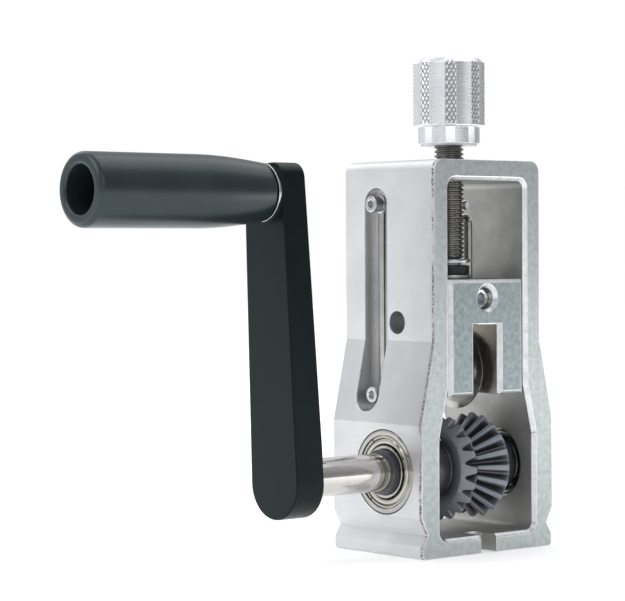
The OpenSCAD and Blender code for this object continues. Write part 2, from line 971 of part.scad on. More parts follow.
module adjuster_knob() {
    r = knob_d / 2;
    collar_r = collar_d / 2;
    bore_r = screw_d / 2 + seat_gap;
    flute_r = r * flute_tool;
    flute_depth = 0.75;
    collar_edge = 0.8;
    low_edge = 0.5;
    top_edge = 1.4;
    bore_z = knob_z + screw_in_knob + seat_gap;
    color("gainsboro")
        translate([0, axis_y, 0])
            difference() {
                rotate_extrude()
                    polygon([[bore_r, collar_z], [collar_r - collar_edge, collar_z],
                        [collar_r, collar_z + collar_edge], [collar_r, knob_z],
                        [r - low_edge, knob_z], [r, knob_z + low_edge],
                        [r, knob_top_z - top_edge], [r - top_edge, knob_top_z],
                        [0, knob_top_z], [0, bore_z], [bore_r, bore_z]]);
                for (i = [0 : flutes - 1])
                    rotate([0, 0, i * 360 / flutes + flute_phase])
                        translate([r + flute_r - flute_depth, 0, knob_z - eps])
                            cylinder(r = flute_r, h = knob_h + 2 * eps);
                translate([0, 0, collar_z + collar_h / 2])
                    rotate([-90, 0, 0])
                        cylinder(r = knob_screw_r, h = knob_d, $fn = small_fn);
            }
}

module knob_set_screw() {
    sink = 0.5;
    length = (collar_d - screw_d) / 2 - sink - grub_end_gap;
    socket = 1.5;
    point_r = 0.9;
    color("dimgray")
        translate([0, axis_y + collar_d / 2 - sink, collar_z + collar_h / 2])
            rotate([-90, 0, 0])
                grub_screw(knob_screw_r - seat_gap, length, socket, point_r, grub_point_l);
}

module washer_ring(z, outer, thickness, turn) {
    translate([0, axis_y, z])
        rotate([0, 0, washer_start])
            rotate_extrude(angle = turn)
                translate([tail_d / 2 + free_gap, 0])
                    square([outer - tail_d / 2 - free_gap, thickness]);
}

module plain_washer() {
    color("gainsboro")
        washer_ring(slider_top_z, washer_d / 2, plain_t, 360);
}

module thrust_ring() {
    color("#26282c")
        washer_ring(slider_top_z + plain_t, washer_d / 2 - thrust_inset, thrust_t, 360);
}

module spring_washer() {
    color("silver")
        washer_ring(slider_top_z + plain_t + thrust_t, washer_d / 2, spring_t, washer_turn);
}

// Front view of the slider: a block with a fork slot, open below
module slider_outline() {
    difference() {
        translate([-slider_half, slider_z])
            square([slider_half * 2, slider_h]);
        translate([-fork_w / 2, slider_z - eps])
            square([fork_w, fork_h + eps]);
    }
}

module slider_chamfers() {
    c = slider_chamfer;
    h = -slider_front_y;
    fork = fork_w / 2;
    top = slider_z + fork_h;
    roof = c * 0.3;
    foot = c * 0.7;
    chamfer_bar([-slider_half, slider_top_z], [slider_half, slider_top_z], c, h);
    chamfer_bar([-fork, top], [fork, top], roof, h);
    for (side = [-1, 1]) {
        chamfer_bar([side * slider_half, slider_z], [side * slider_half, slider_top_z], c, h);
        chamfer_bar([side * fork, slider_z - c], [side * fork, top + roof], c, h);
        chamfer_bar([min(side * fork, side * slider_half), slider_z],
            [max(side * fork, side * slider_half), slider_z], foot, h);
    }
}

module slider_block() {
    color("darkgray")
        difference() {
            upright()
                difference() {
                    translate([0, 0, -slider_front_y - slider_d])
                        linear_extrude(slider_d)
                            slider_outline();
                    slider_chamfers();
                }
            for (side = [-1, 1])
                translate([side * rod_x, slot_y, slider_z - eps])
                    cylinder(r = rod_r + run_gap, h = slider_h + 2 * eps);
            // Socket for the tail of the adjusting screw
            translate([0, axis_y, shoulder_z - tail_l - tail_end_gap])
                cylinder(r = tail_d / 2 + run_gap, h = tail_l + 2 * tail_end_gap);
            // Front hole with its chamfer
            translate([0, slider_front_y - eps, hole_z])
                rotate([-90, 0, 0])
                    cylinder(d = hole_d, h = axis_y - slider_front_y);
            translate([0, slider_front_y - eps, hole_z])
                rotate([-90, 0, 0])
                    cylinder(d1 = hole_d + 2 * (hole_chamfer + eps), d2 = hole_d,
                        h = hole_chamfer + eps);
            // Bore and head recess of the cutter screw
            translate([-slider_half - eps, axis_y, cutter_z])
                rotate([0, 90, 0]) {
                    cylinder(r = axle_d / 2 + seat_gap, h = slider_half * 2 - axle_wall + eps);
                    cylinder(r = axle_head_r + axle_head_gap, h = axle_head_h + axle_sink + eps);
                }
        }
}

// Headless screw behind the front hole, with a nose in the groove of the adjusting screw
module retaining_screw() {
    sink = 3;
    nose = 1.3;
    socket = 3.6;
    tail_gap = 0.6;
    length = axis_y - slider_front_y - sink - tail_d / 2 - tail_gap;
    color("silver")
        translate([0, slider_front_y + sink, hole_z])
            rotate([90, 0, 0])
                grub_screw(hole_d / 2 - seat_gap, length, socket, grub_tip_r, nose);
}

// Round blade, ground to an edge on both faces
module cutter_disc() {
    bevel = 2.2;
    rim = 0.08;
    half = cutter_t / 2;
    color("lightgray")
        translate([groove_x, axis_y, cutter_z])
            turned_x([[bush_r + run_gap, -half], [cutter_r - bevel, -half],
                [cutter_r, -rim], [cutter_r, rim], [cutter_r - bevel, half],
                [bush_r + run_gap, half]]);
}

module cutter_screw() {
    r = axle_d / 2;
    head = -slider_half + axle_sink;
    end = slider_half - axle_wall - axle_end_gap;
    socket = 3;
    socket_l = 2.2;
    color("dimgray")
        translate([0, axis_y, cutter_z])
            difference() {
                turned_x([[0, head], [axle_head_r - head_edge, head],
                    [axle_head_r, head + head_edge], [axle_head_r, head + axle_head_h],
                    [r, head + axle_head_h], [r, end - point_edge], [r - point_edge, end],
                    [0, end]]);
                translate([head - eps, 0, 0])
                    rotate([0, 90, 0])
                        cylinder(r = socket / sqrt(3), h = socket_l, $fn = 6);
            }
}

module cutter_bush() {
    half = bush_half_w;
    color("#a07f3c")
        translate([groove_x, axis_y, cutter_z])
            turned_x([[bush_wall_r, -half], [bush_r, -half], [bush_r, half],
                [bush_wall_r, half]]);
}

module cutter_spacers() {
    half = bush_half_w;
    color("lightgray")
        translate([0, axis_y, cutter_z]) {
            turned_x([[bush_wall_r, -fork_w / 2], [spacer_r, -fork_w / 2],
                [spacer_r, groove_x - half], [bush_wall_r, groove_x - half]]);
            turned_x([[bush_wall_r, groove_x + half], [spacer_r, groove_x + half],
                [spacer_r, fork_w / 2], [bush_wall_r, fork_w / 2]]);
        }
}

frame();
left_guide_rod();
right_guide_rod();
guide_screws();
guide_washers();
left_bearing_outer();
left_bearing_inner();
left_bearing_balls();
left_bearing_cage();
left_bearing_shields();
left_bearing_clip();
right_bearing_outer();
right_bearing_inner();
right_bearing_balls();
right_bearing_cage();
right_bearing_shields();
right_bearing_clip();
crank_shaft();
left_feed_gear();
right_feed_gear();
gear_set_screws();
crank_arm();
arm_set_screw();
grip_axle();
grip_washer();
grip();
adjuster_screw();
adjuster_knob();
knob_set_screw();
plain_washer();
thrust_ring();
spring_washer();
slider_block();
retaining_screw();
cutter_disc();
cutter_screw();
cutter_bush();
cutter_spacers();
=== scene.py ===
"""Looks of a hand-cranked wire stripping machine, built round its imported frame.

Lengths are in millimetres until a mesh is made. X runs along the crank shaft with the crank on -X,
-Y is the feed side and Z = 0 is the bench.
"""

import json
import logging
import math
from dataclasses import dataclass
from enum import Enum
from typing import Optional, Sequence

import bmesh
import bpy
import numpy as np
from mathutils import Matrix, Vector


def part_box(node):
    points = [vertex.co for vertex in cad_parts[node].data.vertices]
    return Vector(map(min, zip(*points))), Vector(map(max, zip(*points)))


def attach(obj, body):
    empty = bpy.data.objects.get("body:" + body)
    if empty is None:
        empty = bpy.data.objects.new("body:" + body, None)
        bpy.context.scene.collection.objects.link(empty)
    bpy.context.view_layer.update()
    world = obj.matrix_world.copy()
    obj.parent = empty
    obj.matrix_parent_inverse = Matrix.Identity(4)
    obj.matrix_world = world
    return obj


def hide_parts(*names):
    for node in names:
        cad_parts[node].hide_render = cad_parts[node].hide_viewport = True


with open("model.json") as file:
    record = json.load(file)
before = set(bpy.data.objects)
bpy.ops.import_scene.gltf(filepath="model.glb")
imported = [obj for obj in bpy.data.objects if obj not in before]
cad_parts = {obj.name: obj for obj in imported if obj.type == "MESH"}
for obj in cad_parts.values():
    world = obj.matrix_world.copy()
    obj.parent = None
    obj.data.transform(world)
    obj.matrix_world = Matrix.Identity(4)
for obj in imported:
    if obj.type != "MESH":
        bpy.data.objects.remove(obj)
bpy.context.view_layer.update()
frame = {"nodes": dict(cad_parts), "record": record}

MM = 0.001
ALONG_X, ALONG_Y = (1.0, 0.0, 0.0), (0.0, 1.0, 0.0)
log = logging.getLogger("wire_stripper")


# Shapes ---------------------------------------------------------------------------------------------


class Side(Enum):
    """The two walls of the frame, with the sign of X on each."""

    LEFT = -1
    RIGHT = 1

    @property
    def word(self) -> str:
        """The side's name as the node names spell it."""
        return self.name.lower()


@dataclass(frozen=True)
class Place:
    """Where a turned piece stands: origin in mm, direction of its axis and of its zero angle."""

    origin: tuple[float, float, float]
    axis: tuple[float, float, float]
    zero: tuple[float, float, float]

    def put(self, radius: np.ndarray, height: np.ndarray, angle: np.ndarray) -> np.ndarray:
        """Turns cylinder coordinates into points.

        The point is origin + height * axis + radius * (cos(angle) * zero + sin(angle) * third),
        where third is the cross product of axis and zero.

        Args:
            radius: distance from the axis.
            height: distance along the axis.
            angle: angle from the zero direction, in radians.

        Returns:
            The points, with their three coordinates last.
        """
        third = np.cross(self.axis, self.zero)
        radius, height, angle = np.broadcast_arrays(radius, height, angle)
        return (np.array(self.origin) + height[..., None] * np.array(self.axis)
                + (radius * np.cos(angle))[..., None] * np.array(self.zero)
                + (radius * np.sin(angle))[..., None] * third)


def node_box(node: str) -> tuple[np.ndarray, np.ndarray]:
    """Lowest and highest corner of a CAD node.

    Args:
        node: the node's name.

    Returns:
        The two corners, in mm.
    """
    low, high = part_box(node)
    return np.array(low) / MM, np.array(high) / MM


def rounded(points: Sequence[Sequence[float]], radius: float | Sequence[float],
            steps: int = 4, closed: bool = True) -> np.ndarray:
    """Rounds the corners of an outline.

    Each corner becomes the arc that touches both of its sides, at most half of a side long.

    Args:
        points: the corners in order.
        radius: one radius, or one for each corner.
        steps: how many chords stand for an arc.
        closed: whether the last corner joins the first.

    Returns:
        The rounded outline's points.
    """
    corners = np.asarray(points, float)
    count = len(corners)
    radii = np.broadcast_to(np.asarray(radius, float), count)
    turn = np.linspace(0.0, 1.0, steps + 1)[:, None]
    out = []
    for i, (corner, wanted) in enumerate(zip(corners, radii)):
        if wanted <= 0 or (not closed and i in (0, count - 1)):
            out.append(corner[None])
            continue
        back = corners[i - 1] - corner
        on = corners[(i + 1) % count] - corner
        back_length, on_length = np.linalg.norm(back), np.linalg.norm(on)
        back, on = back / back_length, on / on_length
        half = math.acos(float(np.clip(back @ on, -1, 1))) / 2
        if half > math.radians(89.5):
            out.append(corner[None])
            continue
        cut = min(wanted / math.tan(half), 0.49 * back_length, 0.49 * on_length)
        real = cut * math.tan(half)
        middle = back + on
        centre = corner + middle / np.linalg.norm(middle) * real / math.sin(half)
        first, last = corner + back * cut - centre, corner + on * cut - centre
        arc = math.pi - 2 * half
        out.append(centre + (np.sin((1 - turn) * arc) * first + np.sin(turn * arc) * last)
                   / math.sin(arc))
    return np.vstack(out)


def mesh_object(name: str, points: np.ndarray, faces: np.ndarray) -> bpy.types.Object:
    """Makes a closed mesh object from arrays.

    Doubles are merged, so that seams and poles are closed, and faces are turned outwards.

    Args:
        name: the object's name.
        points: n by 3 points in mm.
        faces: m by 3 or m by 4 corner numbers.

    Returns:
        The new object, at the origin.
    """
    mesh = bpy.data.meshes.new(name)
    mesh.vertices.add(len(points))
    mesh.vertices.foreach_set("co", (points * MM).astype(np.float32).ravel())
    mesh.loops.add(faces.size)
    mesh.loops.foreach_set("vertex_index", faces.astype(np.int32).ravel())
    mesh.polygons.add(len(faces))
    starts = np.arange(0, faces.size, faces.shape[1], dtype=np.int32)
    mesh.polygons.foreach_set("loop_start", starts)
    mesh.update(calc_edges=True)
    work = bmesh.new()
    work.from_mesh(mesh)
    bmesh.ops.remove_doubles(work, verts=work.verts, dist=1e-6)
    bmesh.ops.dissolve_degenerate(work, edges=work.edges, dist=1e-7)
    bmesh.ops.recalc_face_normals(work, faces=work.faces)
    work.to_mesh(mesh)
    work.free()
    piece = bpy.data.objects.new(name, mesh)
    bpy.context.scene.collection.objects.link(piece)
    return piece


def shade(piece: bpy.types.Object, sharp_deg: float = 40.0) -> bpy.types.Object:
    """Shades a piece smooth, with hard edges where faces turn more than an angle.

    Args:
        piece: the piece.
        sharp_deg: the angle, in degrees.

    Returns:
        The same piece.
    """
    mesh = piece.data
    mesh.polygons.foreach_set("use_smooth", np.ones(len(mesh.polygons), bool))
    mesh.set_sharp_from_angle(angle=math.radians(sharp_deg))
    weighted = piece.modifiers.new("weighted_normals", "WEIGHTED_NORMAL")
    weighted.keep_sharp = True
    weighted.weight = 80
    return piece


def skin(name: str, grid: np.ndarray, wrap_rows: bool = False,
         sharp_deg: float = 40.0) -> bpy.types.Object:
    """Covers a grid of points with quads, four neighbours to a face.

    The last column always joins the first.

    Args:
        name: the object's name.
        grid: rows by columns by 3 points in mm.
        wrap_rows: whether the last row joins the first.
        sharp_deg: the angle past which an edge is drawn hard.

    Returns:
        The new object.
    """
    rows, columns = grid.shape[:2]
    number = np.arange(rows * columns).reshape(rows, columns)
    if wrap_rows:
        number = np.vstack([number, number[:1]])
    number = np.hstack([number, number[:, :1]])
    faces = np.stack([number[:-1, :-1], number[:-1, 1:], number[1:, 1:], number[1:, :-1]], -1)
    return shade(mesh_object(name, grid.reshape(-1, 3), faces.reshape(-1, 4)), sharp_deg)


def mark(piece: bpy.types.Object, name: str, values: np.ndarray) -> None:
    """Stores one value for each point of a piece, for its finish to read.

    Args:
        piece: the piece.
        name: the attribute's name.
        values: the values, in the order of the piece's points.
    """
    layer = piece.data.attributes.new(name, "FLOAT", "POINT")
    layer.data.foreach_set("value", values.astype(np.float32))


def points_of(piece: bpy.types.Object) -> np.ndarray:
    """A piece's points in mm, as n by 3."""
    points = np.zeros(len(piece.data.vertices) * 3)
    piece.data.vertices.foreach_get("co", points)
    return points.reshape(-1, 3) / MM


def faces_of(piece: bpy.types.Object) -> tuple[np.ndarray, np.ndarray]:
    """A piece's face normals, and its face centres in mm, each as n by 3."""
    count = len(piece.data.polygons)
    normal, centre = np.zeros(count * 3), np.zeros(count * 3)
    piece.data.polygons.foreach_get("normal", normal)
    piece.data.polygons.foreach_get("center", centre)
    return normal.reshape(-1, 3), centre.reshape(-1, 3) / MM


def turned(name: str, profile: np.ndarray, place: Place, ring: bool = False, segments: int = 128,
           sharp_deg: float = 40.0) -> bpy.types.Object:
    """Turns a profile round an axis: every profile point becomes a circle of its radius.

    Args:
        name: the object's name.
        profile: n by 2 array of radius and height.
        place: where the axis stands.
        ring: whether the profile is a closed loop, and not one from axis to axis.
        segments: how many columns go round.
        sharp_deg: the angle past which an edge is drawn hard.

    Returns:
        The new object.
    """
    angle = np.linspace(0, 2 * np.pi, segments, endpoint=False)[None, :]
    grid = place.put(profile[:, :1], profile[:, 1:], angle)
    return skin(name, grid, wrap_rows=ring, sharp_deg=sharp_deg)


def turned_part(name: str, profile: np.ndarray, place: Place, start_deg: float, end_deg: float,
                rise: float = 0.0, segments: int = 96) -> bpy.types.Object:
    """Turns a closed profile part of the way round, climbing steadily, with flat ends.

    The height at an angle is the profile's height plus rise times the share of the sweep. The two
    ends are closed by shrinking one more ring of the section into its own middle.

    Args:
        name: the object's name.
        profile: closed n by 2 loop of radius and height.
        place: where the axis stands.
        start_deg: angle of the first end.
        end_deg: angle of the last end.
        rise: climb over the whole sweep, in mm.
        segments: how many columns lie between the ends.

    Returns:
        The new object.
    """
    angle = np.radians(np.linspace(start_deg, end_deg, segments))[:, None]
    share = np.linspace(0, 1, segments)[:, None]
    grid = place.put(profile[None, :, 0], profile[None, :, 1] + rise * share, angle)
    caps = [np.broadcast_to(grid[end].mean(0), grid[end].shape)[None] for end in (0, -1)]
    return skin(name, np.concatenate([caps[0], grid, caps[1]]))


def machined_copy(node: str, name: str, bevel_mm: float, edge_slot: int = -1,
                  angle_deg: float = 32.0, segments: int = 2, crease_deg: float = 32.0,
                  seams: Sequence[tuple[Sequence[float], float]] = ()) -> bpy.types.Object:
    """Copies a CAD node as welded plates with its edges broken.

    A plate with a hole can't be one face, so planes through the holes' middles part it first.

    Args:
        node: the CAD node.
        name: the new object's name.
        bevel_mm: width of the broken edges.
        edge_slot: material slot of the broken edges, or -1 for the neighbour's.
        angle_deg: edges that turn less than this stay as they are.
        segments: faces across a broken edge.
        crease_deg: edges that turn less than this are shaded smooth.
        seams: parting planes, each its unit normal and its distance from the origin in mm.

    Returns:
        The new object.
    """
    source = frame["nodes"][node].data
    points = np.zeros(len(source.vertices) * 3)
    source.vertices.foreach_get("co", points)
    source.calc_loop_triangles()
    faces = np.zeros(len(source.loop_triangles) * 3, np.int32)
    source.loop_triangles.foreach_get("vertices", faces)
    piece = mesh_object(name, points.reshape(-1, 3) / MM, faces.reshape(-1, 3))
    work = bmesh.new()
    work.from_mesh(piece.data)
    for normal, distance in seams:
        cut = bmesh.ops.bisect_plane(work, geom=[*work.verts, *work.edges, *work.faces],
                                     dist=2e-6, plane_co=[c * distance * MM for c in normal],
                                     plane_no=normal)
        for item in cut["geom_cut"]:
            if isinstance(item, bmesh.types.BMEdge):
                item.seam = True
    bmesh.ops.dissolve_limit(work, angle_limit=math.radians(0.4), verts=work.verts,
                             edges=work.edges, use_dissolve_boundaries=False,
                             delimit={"SEAM"})
    work.to_mesh(piece.data)
    work.free()
    mesh = piece.data
    mesh.polygons.foreach_set("use_smooth", np.ones(len(mesh.polygons), bool))
    mesh.set_sharp_from_angle(angle=math.radians(crease_deg))
    if bevel_mm > 0:
        bevel = piece.modifiers.new("broken_edges", "BEVEL")
        bevel.width = bevel_mm * MM
        bevel.segments = segments
        bevel.limit_method = "ANGLE"
        bevel.angle_limit = math.radians(angle_deg)
        bevel.use_clamp_overlap = False
        bevel.miter_outer = "MITER_ARC"
        bevel.harden_normals = True
        bevel.material = edge_slot
    return piece


def socket_screw(name: str, place: Place, head_r: float, head_h: float, socket_af: float,
                 socket_d: float, shank_r: float, shank_l: float,
                 edge: float = 0.35) -> bpy.types.Object:
    """Screw with a hexagon socket, its head above height 0 and its shank below.

    Rows of the grid run from the middle of the socket's floor over the head to the shank's tip. A
    hexagonal row has the radius apothem / cos(angle from the middle of its flat).

    Args:
        name: the object's name.
        place: the screw's axis, pointing out of the socket.
        head_r: radius of the head.
        head_h: height of the head, 0 for a screw with no head.
        socket_af: width across the flats of the socket.
        socket_d: depth of the socket.
        shank_r: radius of the shank.
        shank_l: length of the shank.
        edge: radius of the head's edge.

    Returns:
        The new object.
    """
    columns = 72
    angle = np.linspace(0, 2 * np.pi, columns, endpoint=False)
    hexagon = socket_af / 2 / np.cos((angle % (np.pi / 3)) - np.pi / 6)
    mouth = socket_af / math.sqrt(3) + 0.12
    arc = np.radians([0, 22.5, 45, 67.5, 90])
    rows = [(0 * hexagon, head_h - socket_d), (hexagon, head_h - socket_d),
            (hexagon, head_h - 0.12), (mouth + 0 * hexagon, head_h)]
    rows += [(head_r - edge * (1 - math.sin(a)) + 0 * hexagon, head_h - edge * (1 - math.cos(a)))
             for a in arc]
    if head_h > 0:
        rows += [(head_r + 0 * hexagon, 0.0), (shank_r + 0 * hexagon, 0.0)]
    rows += [(shank_r + 0 * hexagon, -shank_l + 0.3), (shank_r - 0.3 + 0 * hexagon, -shank_l),
             (0 * hexagon, -shank_l)]
    radius = np.array([row[0] for row in rows])
    height = np.array([row[1] for row in rows])[:, None]
    return skin(name, place.put(radius, height, angle[None, :]), sharp_deg=30)


# Finishes -------------------------------------------------------------------------------------------


def tint(code: str) -> tuple[float, float, float, float]:
    """Turns an sRGB hex colour into linear RGBA.

    Args:
        code: colour such as "#aabbcc".

    Returns:
        The linear colour with alpha 1.
    """
    channels = [int(code[i:i + 2], 16) / 255 for i in (1, 3, 5)]
    linear = [c / 12.92 if c <= 0.04045 else ((c + 0.055) / 1.055) ** 2.4 for c in channels]
    return (*linear, 1.0)


def add_node(tree: bpy.types.NodeTree, kind: str, attributes: Optional[dict] = None,
             values: Optional[dict] = None, links: Optional[dict] = None) -> bpy.types.Node:
    """Adds a node with its settings and links.

    Args:
        tree: the node tree.
        kind: the node's type name.
        attributes: attributes of the node itself.
        values: values of its inputs, by name or number.
        links: sockets to link into its inputs, by name or number.

    Returns:
        The new node.
    """
    node = tree.nodes.new(kind)
    for key, value in (attributes or {}).items():
        setattr(node, key, value)
    for key, value in (values or {}).items():
        node.inputs[key].default_value = value
    for key, socket in (links or {}).items():
        tree.links.new(socket, node.inputs[key])
    return node


def patches(tree: bpy.types.NodeTree, place: bpy.types.NodeSocket, size_mm: float, detail: float,
            fineness: float, low: float, high: float) -> bpy.types.NodeSocket:
    """Patches over a surface: noise, stretched so that low becomes 0 and high becomes 1.

    Args:
        tree: the node tree.
        place: coordinates in metres.
        size_mm: size of a patch.
        detail: octaves of smaller patches.
        fineness: strength of the smaller patches.
        low: noise that counts as none.
        high: noise that counts as all.

    Returns:
        The socket of the share, from 0 to 1.
    """
    cloud = add_node(tree, "ShaderNodeTexNoise", None,
                     {"Scale": 1 / (size_mm * MM), "Detail": detail, "Roughness": fineness},
                     {"Vector": place})
    return add_node(tree, "ShaderNodeMapRange", {"clamp": True}, {1: low, 2: high},
                    {0: cloud.outputs[0]}).outputs[0]


def worked(tree: bpy.types.NodeTree, marks: bpy.types.NodeSocket, smooth: float, rough: float,
           depth_mm: float) -> dict[str, bpy.types.NodeSocket]:
    """Lets marks both roughen a surface and dent it.

    Noise hardly leaves 0.3 to 0.7, so that span carries the whole swing of the roughness. The
    dent is the mark's height from 0 to 1 times its depth.

    Args:
        tree: the node tree.
        marks: height of the marks, from 0 to 1.
        smooth: roughness in the lowest marks.
        rough: roughness on the highest.
        depth_mm: depth of the full height.

    Returns:
        The sockets of the shader's roughness and normal.
    """
    swing = add_node(tree, "ShaderNodeMapRange", {"clamp": True},
                     {1: 0.3, 2: 0.7, 3: smooth, 4: rough}, {0: marks})
    dent = add_node(tree, "ShaderNodeBump", None, {"Strength": 1.0, "Distance": depth_mm * MM},
                    {"Height": marks})
    return {"Roughness": swing.outputs[0], "Normal": dent.outputs[0]}


class Lay(Enum):
    """Which way tool marks run: the scale of the coordinates, small along the marks."""

    NONE = (1.0, 1.0, 1.0)
    ALONG_Y = (1.0, 0.02, 1.0)
    ALONG_Z = (1.0, 1.0, 0.02)


@dataclass(frozen=True)
class Finish:
    """A surface that wanders between a light and a dark shade."""

    name: str
    light: str
    dark: str
    roughness: float

    def material(self) -> bpy.types.Material:
        """Builds the material once; later calls give the same one."""
        known = bpy.data.materials.get(self.name)
        if known:
            return known
        material = bpy.data.materials.new(self.name)
        material.use_nodes = True
        tree = material.node_tree
        tree.nodes.clear()
        place = add_node(tree, "ShaderNodeTexCoord").outputs["Object"]
        shader = add_node(tree, "ShaderNodeBsdfPrincipled", None, *self.inputs(tree, place))
        add_node(tree, "ShaderNodeOutputMaterial", links={"Surface": shader.outputs[0]})
        return material

    def inputs(self, tree: bpy.types.NodeTree, place: bpy.types.NodeSocket) -> tuple[dict, dict]:
        """Works out the shader's inputs. Each kind of finish has its own.

        Args:
            tree: the node tree.
            place: coordinates on the piece, in metres.

        Returns:
            The shader's constants and its links.
        """
        raise NotImplementedError

    def colour(self, tree: bpy.types.NodeTree, share: bpy.types.NodeSocket, upper: str = "",
               where: Optional[bpy.types.NodeSocket] = None) -> bpy.types.NodeSocket:
        """Mixes the light shade with the dark one, and lays an upper shade over both.

        Args:
            tree: the node tree.
            share: how much of the dark shade shows.
            upper: the upper shade, or none.
            where: how much of the upper shade shows.

        Returns:
            The colour's socket.
        """
        mixed = add_node(tree, "ShaderNodeMix", {"data_type": "RGBA"},
                         {6: tint(self.light), 7: tint(self.dark)}, {0: share}).outputs[2]
        if not upper:
            return mixed
        return add_node(tree, "ShaderNodeMix", {"data_type": "RGBA"}, {7: tint(upper)},
                        {0: where, 6: mixed}).outputs[2]


@dataclass(frozen=True)
class Metal(Finish):
    """A worked metal surface: soft patches of two shades under tool marks that run one way.

    patch_mm is the size of the shade's patches and mark_mm the spacing of the tool marks. Real
    marks are 0.02 to 0.05 mm apart, so they are drawn coarser where they would vanish. fleck_mm
    is the size of the dents that tumbling leaves, or 0 where there are none; painted shade
    darkens the dents.
    """

    swing: float = 0.06
    patch_mm: float = 6.0
    patch_edge: float = 0.25
    mark_mm: float = 0.25
    mark_depth_mm: float = 0.004
    lay: Lay = Lay.NONE
    fleck_mm: float = 0.0
    metallic: float = 1.0

    def inputs(self, tree: bpy.types.NodeTree, place: bpy.types.NodeSocket) -> tuple[dict, dict]:
        """Patches under tool marks, with the dents over both; see Finish.inputs."""
        share = patches(tree, place, self.patch_mm, 4, 0.6, 0.5 - self.patch_edge,
                        0.5 + self.patch_edge)
        stretched = add_node(tree, "ShaderNodeMapping", None, {"Scale": self.lay.value},
                             {"Vector": place}).outputs[0]
        marks = add_node(tree, "ShaderNodeTexNoise", None,
                         {"Scale": 1 / (self.mark_mm * MM), "Detail": 3, "Roughness": 0.6},
                         {"Vector": stretched}).outputs[0]
        links = worked(tree, marks, self.roughness - self.swing, self.roughness + self.swing,
                       self.mark_depth_mm)
        if not self.fleck_mm:
            return {"Metallic": self.metallic}, links | {"Base Color": self.colour(tree, share)}
        dents = patches(tree, place, self.fleck_mm, 2, 0.7, 0.56, 0.68)
        # Painted shade darkens the dents, most where they are deepest.
        shadow = add_node(tree, "ShaderNodeMapRange", {"clamp": True}, {4: 0.45},
                          {0: dents}).outputs[0]
        links["Base Color"] = self.colour(tree, share, self.dark, shadow)
        links["Normal"] = add_node(tree, "ShaderNodeBump", None,
                                   {"Strength": 1.0, "Distance": self.mark_depth_mm * 2 * MM},
                                   {"Height": dents, "Normal": links["Normal"]}).outputs[0]
        return {"Metallic": self.metallic}, links


@dataclass(frozen=True)
class TurnedMetal(Finish):
    """Metal turned or ground on a lathe: fine rings about the piece's own axis.

    The rings follow radius plus distance along the axis, so they run round a cylinder and lie as
    circles on a face. Rings of a real finish are under 0.1 mm apart and are drawn at ring_mm.
    cut is painted shade laid in the grooves that a piece marks with its relief attribute.
    """

    swing: float = 0.05
    ring_mm: float = 0.2
    ring_depth_mm: float = 0.002
    centre: tuple[float, float, float] = (0.0, 0.0, 0.0)
    along: str = "X"
    cut: str = ""

    def inputs(self, tree: bpy.types.NodeTree, place: bpy.types.NodeSocket) -> tuple[dict, dict]:
        """Rings by radius = the root of a * a + b * b across the axis; see Finish.inputs."""
        shift = tuple(-c * MM for c in self.centre)
        centred = add_node(tree, "ShaderNodeMapping", None, {"Location": shift},
                           {"Vector": place}).outputs[0]
        parts = add_node(tree, "ShaderNodeSeparateXYZ", links={0: centred}).outputs
        axis = "XYZ".index(self.along)
        a, b = [add_node(tree, "ShaderNodeMath", {"operation": "MULTIPLY"},
                         links={0: parts[i], 1: parts[i]}) for i in range(3) if i != axis]
        total = add_node(tree, "ShaderNodeMath", {"operation": "ADD"},
                         links={0: a.outputs[0], 1: b.outputs[0]})
        radius = add_node(tree, "ShaderNodeMath", {"operation": "SQRT"},
                          links={0: total.outputs[0]})
        reach = add_node(tree, "ShaderNodeMath", {"operation": "ADD"},
                         links={0: radius.outputs[0], 1: parts[axis]})
        rings = add_node(tree, "ShaderNodeTexNoise", {"noise_dimensions": "1D"},
                         {"Scale": 1 / (self.ring_mm * MM), "Detail": 3.0},
                         {"W": reach.outputs[0]}).outputs[0]
        # The relief attribute says where painted shade goes into the grooves.
        depth = (add_node(tree, "ShaderNodeAttribute", {"attribute_name": "relief"}).outputs["Fac"]
                 if self.cut else None)
        share = patches(tree, place, 7.0, 3, 0.5, 0.3, 0.7)
        links = worked(tree, rings, self.roughness - self.swing, self.roughness + self.swing,
                       self.ring_depth_mm)
        return {"Metallic": 1.0}, links | {"Base Color": self.colour(tree, share, self.cut, depth)}


